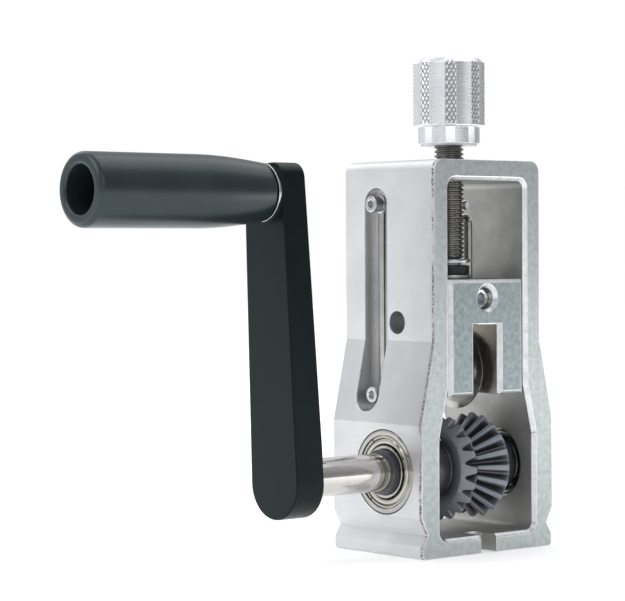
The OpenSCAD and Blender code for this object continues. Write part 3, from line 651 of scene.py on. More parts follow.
@dataclass(frozen=True)
class ChippedWall(Finish):
    """The frame's extruded and milled wall, with a rough nicked line beside its cut edges.

    Extrusion leaves faint lines along Y. The saw tears small nicks into the last millimetre
    before each cut face, and painted shade darkens them, so they show as a broken speckled line.
    Distances from the cut face are in mm: the nicks begin at nick_from, are at their full number
    from nick_full and fade out between fade_from and fade_to.
    """

    half_depth: float
    nick_from: float = 1.7
    nick_full: float = 1.1
    fade_to: float = 0.35
    fade_from: float = 0.55
    nick_mm: float = 0.55
    nick_depth_mm: float = 0.08
    nick_shade: str = "#4b4f52"

    def inputs(self, tree: bpy.types.NodeTree, place: bpy.types.NodeSocket) -> tuple[dict, dict]:
        """Drawn lines, fine grain and torn nicks; see Finish.inputs."""
        drawn = add_node(tree, "ShaderNodeMapping", None, {"Scale": Lay.ALONG_Y.value},
                         {"Vector": place}).outputs[0]
        lines, grain = [
            add_node(tree, "ShaderNodeTexNoise", None,
                     {"Scale": 1 / (size_mm * MM), "Detail": detail, "Roughness": 0.6},
                     {"Vector": vector}).outputs[0]
            for size_mm, detail, vector in ((0.5, 3, drawn), (0.35, 2, place))]
        links = worked(tree, lines, self.roughness - 0.05, self.roughness + 0.07, 0.006)
        depth = add_node(tree, "ShaderNodeSeparateXYZ", links={0: place}).outputs[1]
        mask = patches(tree, place, self.nick_mm, 3, 0.75, 0.46, 0.53)
        shares = [patches(tree, place, 9.0, 1, 0.5, 0.36, 0.48)]
        shares += [add_node(tree, "ShaderNodeMapRange", {"clamp": True},
                            {1: (none - self.half_depth) * MM, 2: (full - self.half_depth) * MM},
                            {0: depth}).outputs[0]
                   for none, full in ((self.nick_from, self.nick_full),
                                      (self.fade_to, self.fade_from))]
        for share in shares:
            mask = add_node(tree, "ShaderNodeMath", {"operation": "MULTIPLY"},
                            links={0: mask, 1: share}).outputs[0]
        whole = add_node(tree, "ShaderNodeMapRange", {"clamp": True}, {3: 1.0, 4: 0.0},
                         {0: mask}).outputs[0]
        for height, depth_mm in ((grain, 0.004), (whole, self.nick_depth_mm)):
            links["Normal"] = add_node(tree, "ShaderNodeBump", None,
                                       {"Strength": 1.0, "Distance": depth_mm * MM},
                                       {"Height": height, "Normal": links["Normal"]}).outputs[0]
        share = patches(tree, place, 14.0, 3, 0.55, 0.3, 0.7)
        # The nicks' dark colour is painted shade in them.
        links["Base Color"] = self.colour(tree, share, self.nick_shade, mask)
        return {"Metallic": 1.0}, links


@dataclass(frozen=True)
class Coated(Finish):
    """A dark coating or moulded plastic: not metallic, softly mottled, with a fine texture.

    sheen_tint is the hue of the surface's gloss. The upper colour, if any, is a painted highlight
    laid on the high places that a piece marks with its relief attribute.
    """

    swing: float = 0.05
    grain_mm: float = 0.3
    grain_depth_mm: float = 0.004
    patch_mm: float = 10.0
    specular: float = 0.5
    sheen_tint: str = "#ffffff"
    worn: str = ""

    def inputs(self, tree: bpy.types.NodeTree, place: bpy.types.NodeSocket) -> tuple[dict, dict]:
        """Patches under a fine grain, with a painted highlight on high places; see Finish.inputs."""
        share = patches(tree, place, self.patch_mm, 3, 0.6, 0.3, 0.7)
        grain = add_node(tree, "ShaderNodeTexNoise", None,
                         {"Scale": 1 / (self.grain_mm * MM), "Detail": 3, "Roughness": 0.6},
                         {"Vector": place}).outputs[0]
        height = (add_node(tree, "ShaderNodeAttribute", {"attribute_name": "relief"}).outputs["Fac"]
                  if self.worn else None)
        links = worked(tree, grain, self.roughness - self.swing, self.roughness + self.swing,
                       self.grain_depth_mm)
        links["Base Color"] = self.colour(tree, share, self.worn, height)
        return {"Specular IOR Level": self.specular, "Specular Tint": tint(self.sheen_tint)}, links


@dataclass(frozen=True)
class StudioPaper(Finish):
    """White paper that glows a little more the further it lies from the object.

    Its glow goes from glow_near at near_m from the middle to glow_far at far_m, in metres. The
    glow is painted light, and its dimming near the object paints a soft shadow round the base.
    """

    near_m: float = 0.08
    far_m: float = 0.6
    glow_near: float = 0.32
    glow_far: float = 0.58

    def inputs(self, tree: bpy.types.NodeTree, place: bpy.types.NodeSocket) -> tuple[dict, dict]:
        """Faint clouds and a glow by distance; see Finish.inputs."""
        clouds = add_node(tree, "ShaderNodeTexNoise", None,
                          {"Scale": 1 / (40.0 * MM), "Detail": 2, "Roughness": 0.5},
                          {"Vector": place}).outputs[0]
        away = add_node(tree, "ShaderNodeVectorMath", {"operation": "LENGTH"},
                        links={0: place}).outputs["Value"]
        # Less glow near the object: a painted shadow round its base.
        glow = add_node(tree, "ShaderNodeMapRange", {"clamp": True},
                        {1: self.near_m, 2: self.far_m, 3: self.glow_near, 4: self.glow_far},
                        {0: away}).outputs[0]
        constants = {"Roughness": self.roughness, "Specular IOR Level": 0.1,
                     "Emission Color": (1, 1, 1, 1)}
        return constants, {"Base Color": self.colour(tree, clouds), "Emission Strength": glow}


# Putting pieces on their bodies ---------------------------------------------------------------------


BODY_OF = {node: body for body, nodes in frame["record"]["behaviour"]["bodies"].items()
           for node in nodes}


def fit(piece: bpy.types.Object, node: str, *finishes: Finish) -> bpy.types.Object:
    """Dresses a new piece, puts it on its node's body and lets it stand for the node.

    Args:
        piece: the finished mesh.
        node: the CAD node that it stands for.
        finishes: its finishes, one for each material slot.

    Returns:
        The same piece.
    """
    for finish in finishes:
        piece.data.materials.append(finish.material())
    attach(piece, BODY_OF[node])
    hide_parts(node)
    log.info("%s stands for %s on %s, %d faces", piece.name, node, BODY_OF[node],
             len(piece.data.polygons))
    return piece


def dress(node: str, finish: Finish) -> None:
    """Gives a CAD node that stays its finish.

    Args:
        node: the node's name.
        finish: the finish.
    """
    mesh = frame["nodes"][node].data
    material = finish.material()
    if mesh.materials:
        for i in range(len(mesh.materials)):
            mesh.materials[i] = material
    else:
        mesh.materials.append(material)
    log.info("%s keeps its CAD shape", node)


# Sub-assemblies -------------------------------------------------------------------------------------


SHAFT_LOW, SHAFT_HIGH = node_box("crank_shaft")
AXIS_Y = float(SHAFT_LOW[1] + SHAFT_HIGH[1]) / 2
AXIS_Z = float(SHAFT_LOW[2] + SHAFT_HIGH[2]) / 2
SHAFT_R = float(SHAFT_HIGH[2] - SHAFT_LOW[2]) / 2
FRAME_LOW, FRAME_HIGH = node_box("frame")

ZINC = Metal("bright_zinc_plated_steel", "#c9cccd", "#b6b9bb", 0.24, patch_mm=3, mark_mm=0.2)
BLACK_SCREW = Coated("black_oxide_screw_steel", "#1d1f22", "#131417", 0.42, specular=0.6)
EDGE = Metal("broken_bright_edge", "#e2e3e4", "#c3c6c8", 0.3, patch_mm=3.0, mark_mm=0.4,
             fleck_mm=0.9)


@dataclass
class UprightFrame:
    """The milled frame with its guide rods and their screws. Sizes in mm."""

    edge_break: float = 0.28
    chamfer: float = 1.3
    window_half: float = 21.3
    rod_edge: float = 0.2
    head_r: float = 2.75
    head_h: float = 3.0
    socket_af: float = 2.5
    socket_d: float = 1.4
    shank_r: float = 1.49
    thread_l: float = 3.5
    plain_r: float = 3.05
    plain_t: float = 0.8
    split_r: float = 2.65
    split_t: float = 0.9

    def build(self) -> None:
        """Builds and dresses the frame and everything that is fixed to its walls."""
        half_depth = float(FRAME_HIGH[1])
        wall = ChippedWall("extruded_and_milled_aluminium_wall", "#dededf", "#d2d3d5", 0.42,
                           half_depth)
        cut = Metal("sawn_and_tumbled_aluminium_face", "#bdc2c1", "#a0a7a7", 0.42, swing=0.09,
                    patch_mm=2.0, patch_edge=0.22, mark_mm=0.4, mark_depth_mm=0.008,
                    fleck_mm=0.7)
        # A thin oxide dulls the inside of the window, so it mirrors less than bare metal.
        window = Metal("broached_aluminium_window_face", "#c0c0bc", "#a6a6a3", 0.5, swing=0.07,
                       patch_mm=9.0, mark_mm=0.4, mark_depth_mm=0.005, lay=Lay.ALONG_Y,
                       metallic=0.8)
        rod_low, rod_high = node_box("left_guide_rod")
        slot_y = float(rod_low[1] + rod_high[1]) / 2
        piece = machined_copy("frame", "upright_frame", self.edge_break, edge_slot=2, crease_deg=10,
                              seams=((ALONG_X, 0.0), (ALONG_Y, slot_y), (ALONG_Y, AXIS_Y)))
        self.mark_faces(piece, half_depth)
        fit(piece, "frame", wall, cut, EDGE, window)
        self.rods()
        self.screws()

    def mark_faces(self, piece: bpy.types.Object, half_depth: float) -> None:
        """Gives faces their slots: 1 cut, 2 window chamfers, 3 the inside of the window.

        Each is known by its place and direction. An inside face looks towards the window's middle.

        Args:
            piece: the frame.
            half_depth: half of its depth.
        """
        normal, centre = faces_of(piece)
        facing = np.abs(normal[:, 1])
        out = np.abs(centre[:, 1])
        from_middle = centre[:, [0, 2]] - [0, FRAME_HIGH[2] / 2]
        inward = (from_middle * normal[:, [0, 2]]).sum(1) < 0
        reach = np.abs(centre[:, 0]) < self.window_half
        slots = np.where(inward & reach & (facing < 0.1), 3, 0).astype(np.int32)
        slots[(facing > 0.95) & (out > half_depth - 0.1)] = 1
        slots[(facing > 0.5) & (facing < 0.9) & (out > half_depth - self.chamfer)] = 2
        piece.data.polygons.foreach_set("material_index", slots)

    def rods(self) -> None:
        """Builds the two polished guide rods."""
        finish = Metal("ground_guide_rod_steel", "#b9b8b4", "#a6a5a2", 0.16, swing=0.05,
                       lay=Lay.ALONG_Z, mark_mm=0.25)
        for side in Side:
            node = f"{side.word}_guide_rod"
            fit(machined_copy(node, f"{side.word}_rod", self.rod_edge), node, finish)

    def screws(self) -> None:
        """Builds the four cap screws with the two washers under each."""
        low, high = node_box("guide_screws")
        rod_low, rod_high = node_box("left_guide_rod")
        across = (rod_low[1] + rod_high[1]) / 2
        reach = self.plain_t + self.split_t
        hole_r = self.shank_r + 0.1
        screws, washers = [], []
        for side in Side:
            for height in (low[2] + self.head_r, high[2] - self.head_r):
                seat = high[0] - self.head_h
                place = Place((side.value * seat, across, height), (side.value, 0, 0), (0, 0, 1))
                screws.append(socket_screw("cap_screw", place, self.head_r, self.head_h,
                                           self.socket_af, self.socket_d, self.shank_r,
                                           reach + self.thread_l))
                for start, thick, radius in ((-reach, self.plain_t, self.plain_r),
                                             (-self.split_t, self.split_t, self.split_r)):
                    section = rounded([[hole_r, start], [radius, start],
                                       [radius, start + thick], [hole_r, start + thick]],
                                      0.15, 2)
                    washers.append(turned("washer", section, place, ring=True, segments=48))
        fit(joined(screws, "guide_cap_screws"), "guide_screws", ZINC)
        fit(joined(washers, "guide_screw_washers"), "guide_washers", ZINC)


def joined(pieces: Sequence[bpy.types.Object], name: str) -> bpy.types.Object:
    """Joins separate solids into one object.

    Args:
        pieces: the solids.
        name: the new name.

    Returns:
        The joined object.
    """
    for piece in pieces[1:]:
        piece.modifiers.clear()
    with bpy.context.temp_override(active_object=pieces[0], object=pieces[0],
                                   selected_objects=pieces, selected_editable_objects=pieces):
        bpy.ops.object.join()
    pieces[0].name = name
    pieces[0].data.name = name
    return pieces[0]


@dataclass
class Bearing:
    """A shielded ball bearing, 15 by 28 by 7 mm, in one wall. Heights run out of the wall."""

    side: Side
    width: float = 7.0
    inner_r: float = 7.5
    inner_land: float = 8.7
    outer_land: float = 11.6
    seat_r: float = 12.15
    outer_r: float = 13.82
    shield_depth: float = 1.4
    shield_in: float = 9.05
    shield_t: float = 0.3
    shield_at: float = -1.0
    swell: float = 0.62
    clip_w: float = 0.75
    clip_gap: float = 0.25
    clip_low: float = -0.98
    clip_high: float = -0.42
    clip_opening_deg: float = 3.2

    def build(self) -> None:
        """Builds and dresses the rings, shields and clip; balls and cage stay as they are."""
        word = self.side.word
        place = Place((self.side.value * FRAME_HIGH[0], AXIS_Y, AXIS_Z),
                      (self.side.value, 0, 0), (0, 1, 0))
        ring = TurnedMetal("turned_bearing_ring_steel", "#b4b3ae", "#a5a49f", 0.2,
                           centre=(0, AXIS_Y, AXIS_Z), ring_mm=0.3)
        sheet = TurnedMetal("pressed_bearing_shield_steel", "#c4c2b8", "#b0aea4", 0.2,
                            centre=(0, AXIS_Y, AXIS_Z), ring_mm=0.6)
        depth = self.shield_depth
        outer = rounded([[self.outer_land, -depth], [self.seat_r, -depth], [self.seat_r, -0.02],
                         [self.outer_r, -0.02], [self.outer_r, -self.width],
                         [self.seat_r, -self.width], [self.seat_r, depth - self.width],
                         [self.outer_land, depth - self.width]],
                        [0.05, 0.05, 0.3, 0.45, 0.45, 0.1, 0.05, 0.05], 3)
        fit(turned(f"{word}_outer_ring", outer, place, ring=True), f"{word}_bearing_outer", ring)
        inner = rounded([[self.inner_r, 0.0], [self.inner_land, 0.0],
                         [self.inner_land, -self.width], [self.inner_r, -self.width]], 0.28, 3)
        fit(turned(f"{word}_inner_ring", inner, place, ring=True), f"{word}_bearing_inner", ring)
        fit(self.shields(f"{word}_shields", place), f"{word}_bearing_shields", sheet)
        fit(self.clip(f"{word}_clip", place), f"{word}_bearing_clip", ring)
        dress(f"{word}_bearing_balls", ring)
        dress(f"{word}_bearing_cage", ring)

    def shields(self, name: str, place: Place) -> bpy.types.Object:
        """Presses two shields: a rounded swell between a flat rim and a turned-down lip.

        Args:
            name: the object's name.
            place: the bearing's place.

        Returns:
            Both shields as one object.
        """
        rim, flat = self.seat_r - 0.01, self.shield_at
        face = rounded([[self.shield_in, flat], [9.35, flat + self.swell * 0.85],
                        [9.9, flat + self.swell], [10.6, flat + self.swell * 0.9],
                        [11.15, flat + 0.02], [rim, flat]],
                       [0, 0.3, 0.6, 0.4, 0.2, 0], 4, closed=False)
        section = np.vstack([face, (face - [0, self.shield_t])[::-1]])
        front = turned("shield", section, place, ring=True)
        mirrored = section * [1, -1] + [0, -self.width]
        return joined([front, turned("shield", mirrored, place, ring=True)], name)

    def clip(self, name: str, place: Place) -> bpy.types.Object:
        """Builds the spring clip over the outer shield as two arcs with narrow gaps.

        Args:
            name: the object's name.
            place: the bearing's place.

        Returns:
            The clip.
        """
        out = self.seat_r - self.clip_gap
        section = rounded([[out - self.clip_w, self.clip_low], [out, self.clip_low],
                           [out, self.clip_high], [out - self.clip_w, self.clip_high]], 0.15, 2)
        low, high = (-60.0, 54.0) if self.side is Side.LEFT else (126.0, 240.0)
        half = self.clip_opening_deg / 2
        arcs = [turned_part("clip", section, place, low + half, high - half),
                turned_part("clip", section, place, high + half, low + 360 - half)]
        return joined(arcs, name)


@dataclass
class FeedGear:
    """A 45 degree bevel wheel. Heights run from the groove's plane towards its own wall.

    All tooth lines meet in the apex, which lies small_tip_r beyond the groove's plane, so a point
    of a tooth is apex + s * (cos f, sin f), where f swings between the root and the tip angle.
    """

    side: Side
    teeth: int = 20
    columns: int = 24
    small_tip_r: float = 10.5
    tip_r: float = 18.0
    root_r: float = 15.313
    back_r: float = 14.2
    hub_r: float = 10.0
    step_r: float = 8.7
    nose_r: float = 7.49
    bore_r: float = 6.26
    wall_gap: float = 0.5
    bearing_w: float = 7.0
    nose_out: float = 2.1
    race_depth: float = 1.8
    land: float = 0.3
    root_share: float = 0.84

    def build(self) -> None:
        """Builds and dresses the wheel."""
        low, high = node_box(f"{self.side.word}_feed_gear")
        sign = -self.side.value
        groove = float(high[0] if self.side is Side.LEFT else low[0])
        length = float(high[0] - low[0])
        place = Place((groove, AXIS_Y, AXIS_Z), (-sign, 0, 0), (0, 0, 1))
        # The lighter colour on the tooth tips and back edge is a painted highlight.
        finish = Coated("black_oxide_gear_steel", "#33373f", "#25282e", 0.34, swing=0.1,
                        grain_mm=0.45, grain_depth_mm=0.012, patch_mm=5, specular=0.9,
                        worn="#8a9099")
        piece = skin(f"{self.side.word}_feed_wheel", self.grid(place, length), wrap_rows=True,
                     sharp_deg=50)
        self.wear(piece, place)
        fit(piece, f"{self.side.word}_feed_gear", finish)

    def tooth_share(self, angle: np.ndarray) -> np.ndarray:
        """How far a place round the wheel stands up, from 0 in a root to 1 on a tip.

        With u the distance from the tooth's middle in half pitches, the share falls from 1 to 0
        between the tip's land and the root along an S curve.

        Args:
            angle: angle round the wheel, in radians.

        Returns:
            The share for each angle.
        """
        pitch = 2 * np.pi / self.teeth
        u = np.abs((angle / pitch + 0.5) % 1.0 - 0.5) * 2
        t = np.clip((u - self.land) / (self.root_share - self.land), 0, 1)
        return 1 - (0.55 * t + 0.45 * t * t * (3 - 2 * t))

    def wear(self, piece: bpy.types.Object, place: Place) -> None:
        """Marks the painted highlight on each point: how near the tip or back cone, on the teeth
        alone.

        With r the distance from the axis and h along it, the tip cone is r = small_tip_r + h and
        the back cone r = tip_r - (h - tip_r + small_tip_r), so the painted highlight falls with the
        gap to the nearer of the two.

        Args:
            piece: the wheel.
            place: its place.
        """
        off = points_of(piece) - np.array(place.origin)
        height = off @ np.array(place.axis)
        radius = np.linalg.norm(off - height[:, None] * np.array(place.axis), axis=1)
        front = np.abs(self.small_tip_r + height - radius)
        back = np.abs(2 * self.tip_r - self.small_tip_r - height - radius)
        # Lighter near the tip and back cones: a painted highlight on the tooth edges.
        worn = np.maximum(np.clip(1 - front / 1.1, 0, 1), np.clip(0.75 - back / 2.5, 0, 1))
        mark(piece, "relief", np.where(radius > self.small_tip_r - 0.5, worn, 0))

    def grid(self, place: Place, length: float) -> np.ndarray:
        """Lays rows from the bore over the teeth, the back, the hub and the nose to the bore.

        Args:
            place: the wheel's place.
            length: the wheel's whole length along the shaft.

        Returns:
            The grid of points.
        """
        count = self.teeth * self.columns
        angle = np.linspace(0, 2 * np.pi, count, endpoint=False)
        apex = self.small_tip_r
        span = self.tip_r - self.small_tip_r
        root = math.atan2(self.root_r, span + self.tip_r - self.root_r + apex)
        share = self.tooth_share(angle)
        lean = root + (math.pi / 4 - root) * share
        small = apex / np.cos(lean)
        large = (self.tip_r + span + apex) / (np.cos(lean) + np.sin(lean))
        flat = 0 * angle
        rows = [(self.bore_r + flat, 0.3 + flat), (self.bore_r + 0.3 + flat, flat)]
        for part, drop in ((0, 0.02), (0.02, 0.0), (0.15, 0), (0.35, 0), (0.55, 0), (0.75, 0),
                           (0.93, 0), (0.98, 0.006), (1.0, 0.028)):
            s = small + (large - small) * part
            f = lean - drop * share
            rows.append((s * np.sin(f), s * np.cos(f) - apex))
        edge_r, edge_x = rows[-1]
        back_x = span + self.tip_r - self.back_r
        for part in (0.08, 0.5, 0.95):
            rows.append((edge_r + (self.back_r - edge_r) * part,
                         edge_x + (back_x - edge_x) * part))
        race = length - self.nose_out - self.bearing_w
        hub_end = race - self.race_depth - self.wall_gap
        tail = rounded([[self.back_r, back_x - 0.1], [self.back_r - 0.3, back_x],
                        [self.hub_r, back_x], [self.hub_r, hub_end], [self.step_r, hub_end],
                        [self.step_r, race], [self.nose_r, race], [self.nose_r, length],
                        [self.bore_r, length]], [0.1, 0.2, 0.5, 0.4, 0.1, 0.1, 0.1, 0.55, 0],
                       3, closed=False)
        rows += [(r + flat, h + flat) for r, h in tail]
        radius = np.array([row[0] for row in rows])
        height = np.array([row[1] for row in rows])
        return place.put(radius, height, angle[None, :])


@dataclass
class Crank:
    """The shaft, the arm, the grip and what holds them. Sizes in mm."""

    shaft_edge: float = 0.8
    stub_r: float = 6.0
    stub_x: float = 32.4
    arm_edge: float = 0.5
    grip_r: float = 11.5
    grip_neck_r: float = 9.4
    neck_edge: float = 1.5
    taper_l: float = 26.0
    rim_r: float = 2.6
    recess_r: float = 7.5
    recess_l: float = 41.0
    axle_r: float = 4.0
    cap_r: float = 6.4
    cap_h: float = 5.0

    def build(self) -> None:
        """Builds and dresses the crank's pieces."""
        steel = TurnedMetal("ground_and_polished_shaft_steel", "#e4e1dd", "#d6d3ce", 0.13,
                            swing=0.03, centre=(0, AXIS_Y, AXIS_Z), ring_mm=0.35,
                            ring_depth_mm=0.0008)
        arm = Coated("black_anodised_aluminium_arm", "#080f11", "#05090a", 0.36, swing=0.05,
                     grain_mm=0.4, grain_depth_mm=0.006, specular=0.25, sheen_tint="#cdf0f4")
        place = Place((0, AXIS_Y, AXIS_Z), (1, 0, 0), (0, 0, 1))
        edge = self.shaft_edge
        low, high = float(SHAFT_LOW[0]), float(SHAFT_HIGH[0])
        profile = rounded([[0, low], [SHAFT_R - edge, low], [SHAFT_R, low + edge],
                           [SHAFT_R, self.stub_x], [self.stub_r, self.stub_x],
                           [self.stub_r, high - edge], [self.stub_r - edge, high], [0, high]],
                          [0, 0.2, 0.3, 0.1, 0.05, 0.3, 0.2, 0], 3, closed=False)
        fit(turned("shaft", profile, place), "crank_shaft", steel)
        grip_low, grip_high = node_box("grip")
        lift = (grip_low + grip_high) / 2 - [0, AXIS_Y, AXIS_Z]
        across = np.array([0, lift[2], -lift[1]]) / math.hypot(lift[1], lift[2])
        middle = (tuple(across), float(across @ [0, AXIS_Y, AXIS_Z]))
        piece = machined_copy("crank_arm", "arm", self.arm_edge, segments=3, seams=(middle,))
        fit(piece, "crank_arm", arm)
        for node in ("arm_set_screw", "gear_set_screws"):
            fit(machined_copy(node, node.replace("set_screw", "grub_screw"), 0.08), node,
                BLACK_SCREW)
        self.grip_pieces()

    def grip_pieces(self) -> None:
        """Builds the grip, its axle and its washer about the grip's own axis."""
        low, high = node_box("grip")
        centre = (low + high) / 2
        place = Place((0, float(centre[1]), float(centre[2])), (-1, 0, 0), (0, 0, 1))
        neck, end = -float(high[0]), -float(low[0])
        plastic = Coated("moulded_phenolic_grip", "#242c30", "#1d2427", 0.3, swing=0.03,
                         grain_mm=0.5, grain_depth_mm=0.003, patch_mm=15, specular=0.55,
                         sheen_tint="#e1f6f9")
        fit(turned("grip_handle", self.barrel(neck, end), place, ring=True, segments=160), "grip",
            plastic)
        washer_low, washer_high = node_box("grip_washer")
        near, far = -float(washer_high[0]), -float(washer_low[0])
        radius = float(washer_high[2] - washer_low[2]) / 2
        section = rounded([[self.axle_r + 0.01, near], [radius, near], [radius, far],
                           [self.axle_r + 0.01, far]], 0.2, 3)
        fit(turned("grip_thrust_washer", section, place, ring=True), "grip_washer", ZINC)
        axle_low, axle_high = node_box("grip_axle")
        seat = -float(axle_low[0]) - self.cap_h
        head = Place((-seat, place.origin[1], place.origin[2]), (-1, 0, 0), (0, 0, 1))
        bolt = socket_screw("grip_shoulder_screw", head, self.cap_r, self.cap_h, 6.0, 3.0,
                            self.axle_r, seat + float(axle_high[0]) - 0.3, edge=0.6)
        fit(bolt, "grip_axle", ZINC)

    def barrel(self, neck: float, end: float) -> np.ndarray:
        """The grip's section: a quarter sine from the neck's radius to the barrel's, then straight.

        Args:
            neck: distance of the arm end along the grip's axis.
            end: distance of the outer end.

        Returns:
            The closed profile of radius and height.
        """
        run = np.linspace(0, 1, 16)
        swell = self.grip_neck_r + (self.grip_r - self.grip_neck_r) * np.sin(run * np.pi / 2)
        outside = np.stack([swell, neck + run * self.taper_l], 1)
        outside[0, 1] = neck
        corners = np.vstack([[[self.axle_r + 0.06, neck]], outside,
                             [[self.grip_r, end], [self.recess_r, end],
                              [self.recess_r, end - self.recess_l],
                              [self.axle_r + 0.06, end - self.recess_l]]])
        radii = [0, self.neck_edge] + [0] * 15 + [self.rim_r, 1.0, 0.3, 0]
        return rounded(corners, radii, 7)


@dataclass
class Adjuster:
    """The threaded adjusting screw and its knob. Sizes in mm; angles about +Z."""

    screw_r: float = 5.0
    pitch: float = 1.5
    thread_depth: float = 0.85
    tail_r: float = 3.5
    groove_r: float = 2.5
    groove_h: float = 3.6
    knob_r: float = 12.0
    collar_r: float = 10.3
    collar_h: float = 6.4
    flutes: int = 8
    flute_r: float = 10.8
    flute_depth: float = 0.75
    flute_turn_deg: float = 26.9
    flute_width_deg: float = 27.0
    knurl_depth: float = 0.4
    knurl_wide: float = 1.5
    knurl_tall: float = 2.6

    def __post_init__(self) -> None:
        """Takes the knob's ends and its axis from the CAD."""
        low, high = node_box("adjuster_knob")
        self.base, self.top = float(low[2]), float(high[2])
        self.place = Place((0, AXIS_Y, 0), (0, 0, 1), (1, 0, 0))

    def build(self) -> None:
        """Builds and dresses the screw, the knob and its set screw."""
        thread = TurnedMetal("rolled_thread_steel", "#94938f", "#7b7a78", 0.24,
                             centre=(0, AXIS_Y, 0), along="Z", ring_mm=0.4)
        # The knurl grooves get painted shade, the cut colour, where shade falls in them.
        knob = TurnedMetal("turned_and_knurled_aluminium_knob", "#eff0f2", "#e4e6e9", 0.28,
                           centre=(0, AXIS_Y, 0), along="Z", ring_mm=0.3, ring_depth_mm=0.0006,
                           cut="#66696d")
        fit(self.screw(), "adjuster_screw", thread)
        fit(self.knob(), "adjuster_knob", knob)
        fit(machined_copy("knob_set_screw", "knob_grub_screw", 0.06), "knob_set_screw", BLACK_SCREW)

    def screw(self) -> bpy.types.Object:
        """Cuts the thread: radius = outer radius - depth * V(z / pitch - angle / turn).

        V rises and falls in straight flanks with small flats at crest and root. The shank below the
        shoulder is plain, with the retaining groove.

        Returns:
            The screw.
        """
        low, high = node_box("adjuster_screw")
        tail, top = float(low[2]), float(high[2])
        retain_low, retain_high = node_box("retaining_screw")
        groove = float(retain_low[2] + retain_high[2]) / 2
        shoulder = float(node_box("spring_washer")[1][2]) + 0.1
        plain = rounded([[0, tail], [self.tail_r, tail], [self.tail_r, groove - self.groove_h / 2],
                         [self.groove_r, groove - self.groove_h / 2],
                         [self.groove_r, groove + self.groove_h / 2],
                         [self.tail_r, groove + self.groove_h / 2], [self.tail_r, shoulder],
                         [self.screw_r - 1, shoulder]], [0, 0.4, 0.1, 0.1, 0.1, 0.1, 0.1, 0], 2,
                        closed=False)
        climb = np.arange(shoulder, top, self.pitch / 12)
        angle = np.linspace(0, 2 * np.pi, 72, endpoint=False)[None, :]
        phase = (climb[:, None] / self.pitch - angle / (2 * np.pi)) % 1.0
        flank = np.clip((np.abs(phase - 0.5) * 2 - 0.12) / 0.76, 0, 1)
        ends = np.minimum(np.clip((climb - shoulder) / 0.8, 0, 1),
                          np.clip((top - climb) / 1.0, 0, 1))[:, None]
        radius = np.minimum(self.screw_r - self.thread_depth * flank, self.screw_r - 1 + ends)
        radius = np.vstack([np.broadcast_to(plain[:, :1], (len(plain), 72)), radius,
                            np.zeros((1, 72))])
        height = np.concatenate([plain[:, 1], climb, [top]])[:, None]
        return skin("adjusting_screw", self.place.put(radius, height, angle), sharp_deg=60)

    def knob_angles(self) -> np.ndarray:
        """Angles round the knob, close together across knurled bands and wide across flutes."""
        step = 360 / self.flutes
        half = self.flute_width_deg / 2
        flute = np.linspace(-half, half, 15)[:-1]
        band = np.linspace(half, step - half, 37)[:-1]
        period = np.concatenate([flute, band])
        turns = np.arange(self.flutes)[:, None] * step + self.flute_turn_deg
        return np.radians((turns + period).ravel())

    def off_flute(self, angle: np.ndarray) -> np.ndarray:
        """Angle from the middle of the nearest flute, in radians."""
        step = 2 * np.pi / self.flutes
        return (angle - math.radians(self.flute_turn_deg) + step / 2) % step - step / 2

    def knurl(self, angle: np.ndarray, height: np.ndarray) -> np.ndarray:
        """Depth of the diamond knurl, from 0 on a crest to 1 in a groove.

        Two families of V grooves cross, with g = |2 frac(u +- v) - 1| for u round the band and v
        along it, and the deeper counts. The bands between flutes alone are knurled.

        Args:
            angle: angle round the knob.
            height: height along it.

        Returns:
            The depths.
        """
        off = self.off_flute(angle)
        half = math.radians(self.flute_width_deg / 2)
        in_band = np.clip((np.abs(off) - half) / math.radians(0.8), 0, 1)
        low, high = self.base + self.collar_h + 0.55, self.top - 1.5
        fade = np.clip(np.minimum(height - low, high - height) / 0.5, 0, 1)
        u = angle * self.knob_r / self.knurl_wide
        v = height / self.knurl_tall
        ridge = np.minimum(np.abs(2 * ((u + v) % 1.0) - 1), np.abs(2 * ((u - v) % 1.0) - 1))
        return np.clip(1 - ridge * 1.6, 0, 1) * in_band * fade

    def knob(self) -> bpy.types.Object:
        """Shapes the knob as one grid of angle by a walk from the bore over the collar to the top.

        A flute's radius is c cos(d) - sqrt(r^2 - c^2 sin^2(d)), with c the distance of its cutter's
        middle, r its cutter's radius and d the angle from its middle.

        Returns:
            The knob.
        """
        angle = self.knob_angles()
        off = self.off_flute(angle)
        reach = self.knob_r + self.flute_r - self.flute_depth
        inside = np.clip(self.flute_r ** 2 - (reach * np.sin(off)) ** 2, 0.01, None)
        fluted = np.minimum(reach * np.cos(off) - np.sqrt(inside), self.knob_r)
        start = self.base + self.collar_h
        foot = rounded([[self.screw_r + 0.01, self.base + 1], [self.screw_r + 0.01, self.base],
                        [self.collar_r - 0.8, self.base], [self.collar_r, self.base + 0.8],
                        [self.collar_r, start - 0.05], [self.knob_r - 1.1, start]],
                       [0, 0.3, 0.3, 0.3, 0.15, 0], 3, closed=False)
        body = np.arange(start + 0.55, self.top - 1.5, 0.16)
        crown = rounded([[1.0, self.top - 1.5], [0.86, self.top - 0.25], [0.7, self.top - 0.05],
                         [0.0, self.top]], [0, 0.05, 0.2, 0], 4, closed=False)
        cut = self.knurl(angle[None, :], body[:, None])
        wall = fluted[None, :] - self.knurl_depth * cut
        lip = np.stack([fluted - 0.45, fluted - 0.15, fluted])
        lip_z = np.array([start, start + 0.15, start + 0.45])
        cap = crown[1:, :1] * fluted[None, :]
        ones = np.ones((1, len(angle)))
        radius = np.vstack([foot[:, :1] * ones, lip, wall, cap])
        height = np.concatenate([foot[:, 1], lip_z, body, crown[1:, 1]])[:, None]
        piece = skin("knurled_knob", self.place.put(radius, height, angle[None, :]), sharp_deg=55)
        off = points_of(piece) - np.array(self.place.origin)
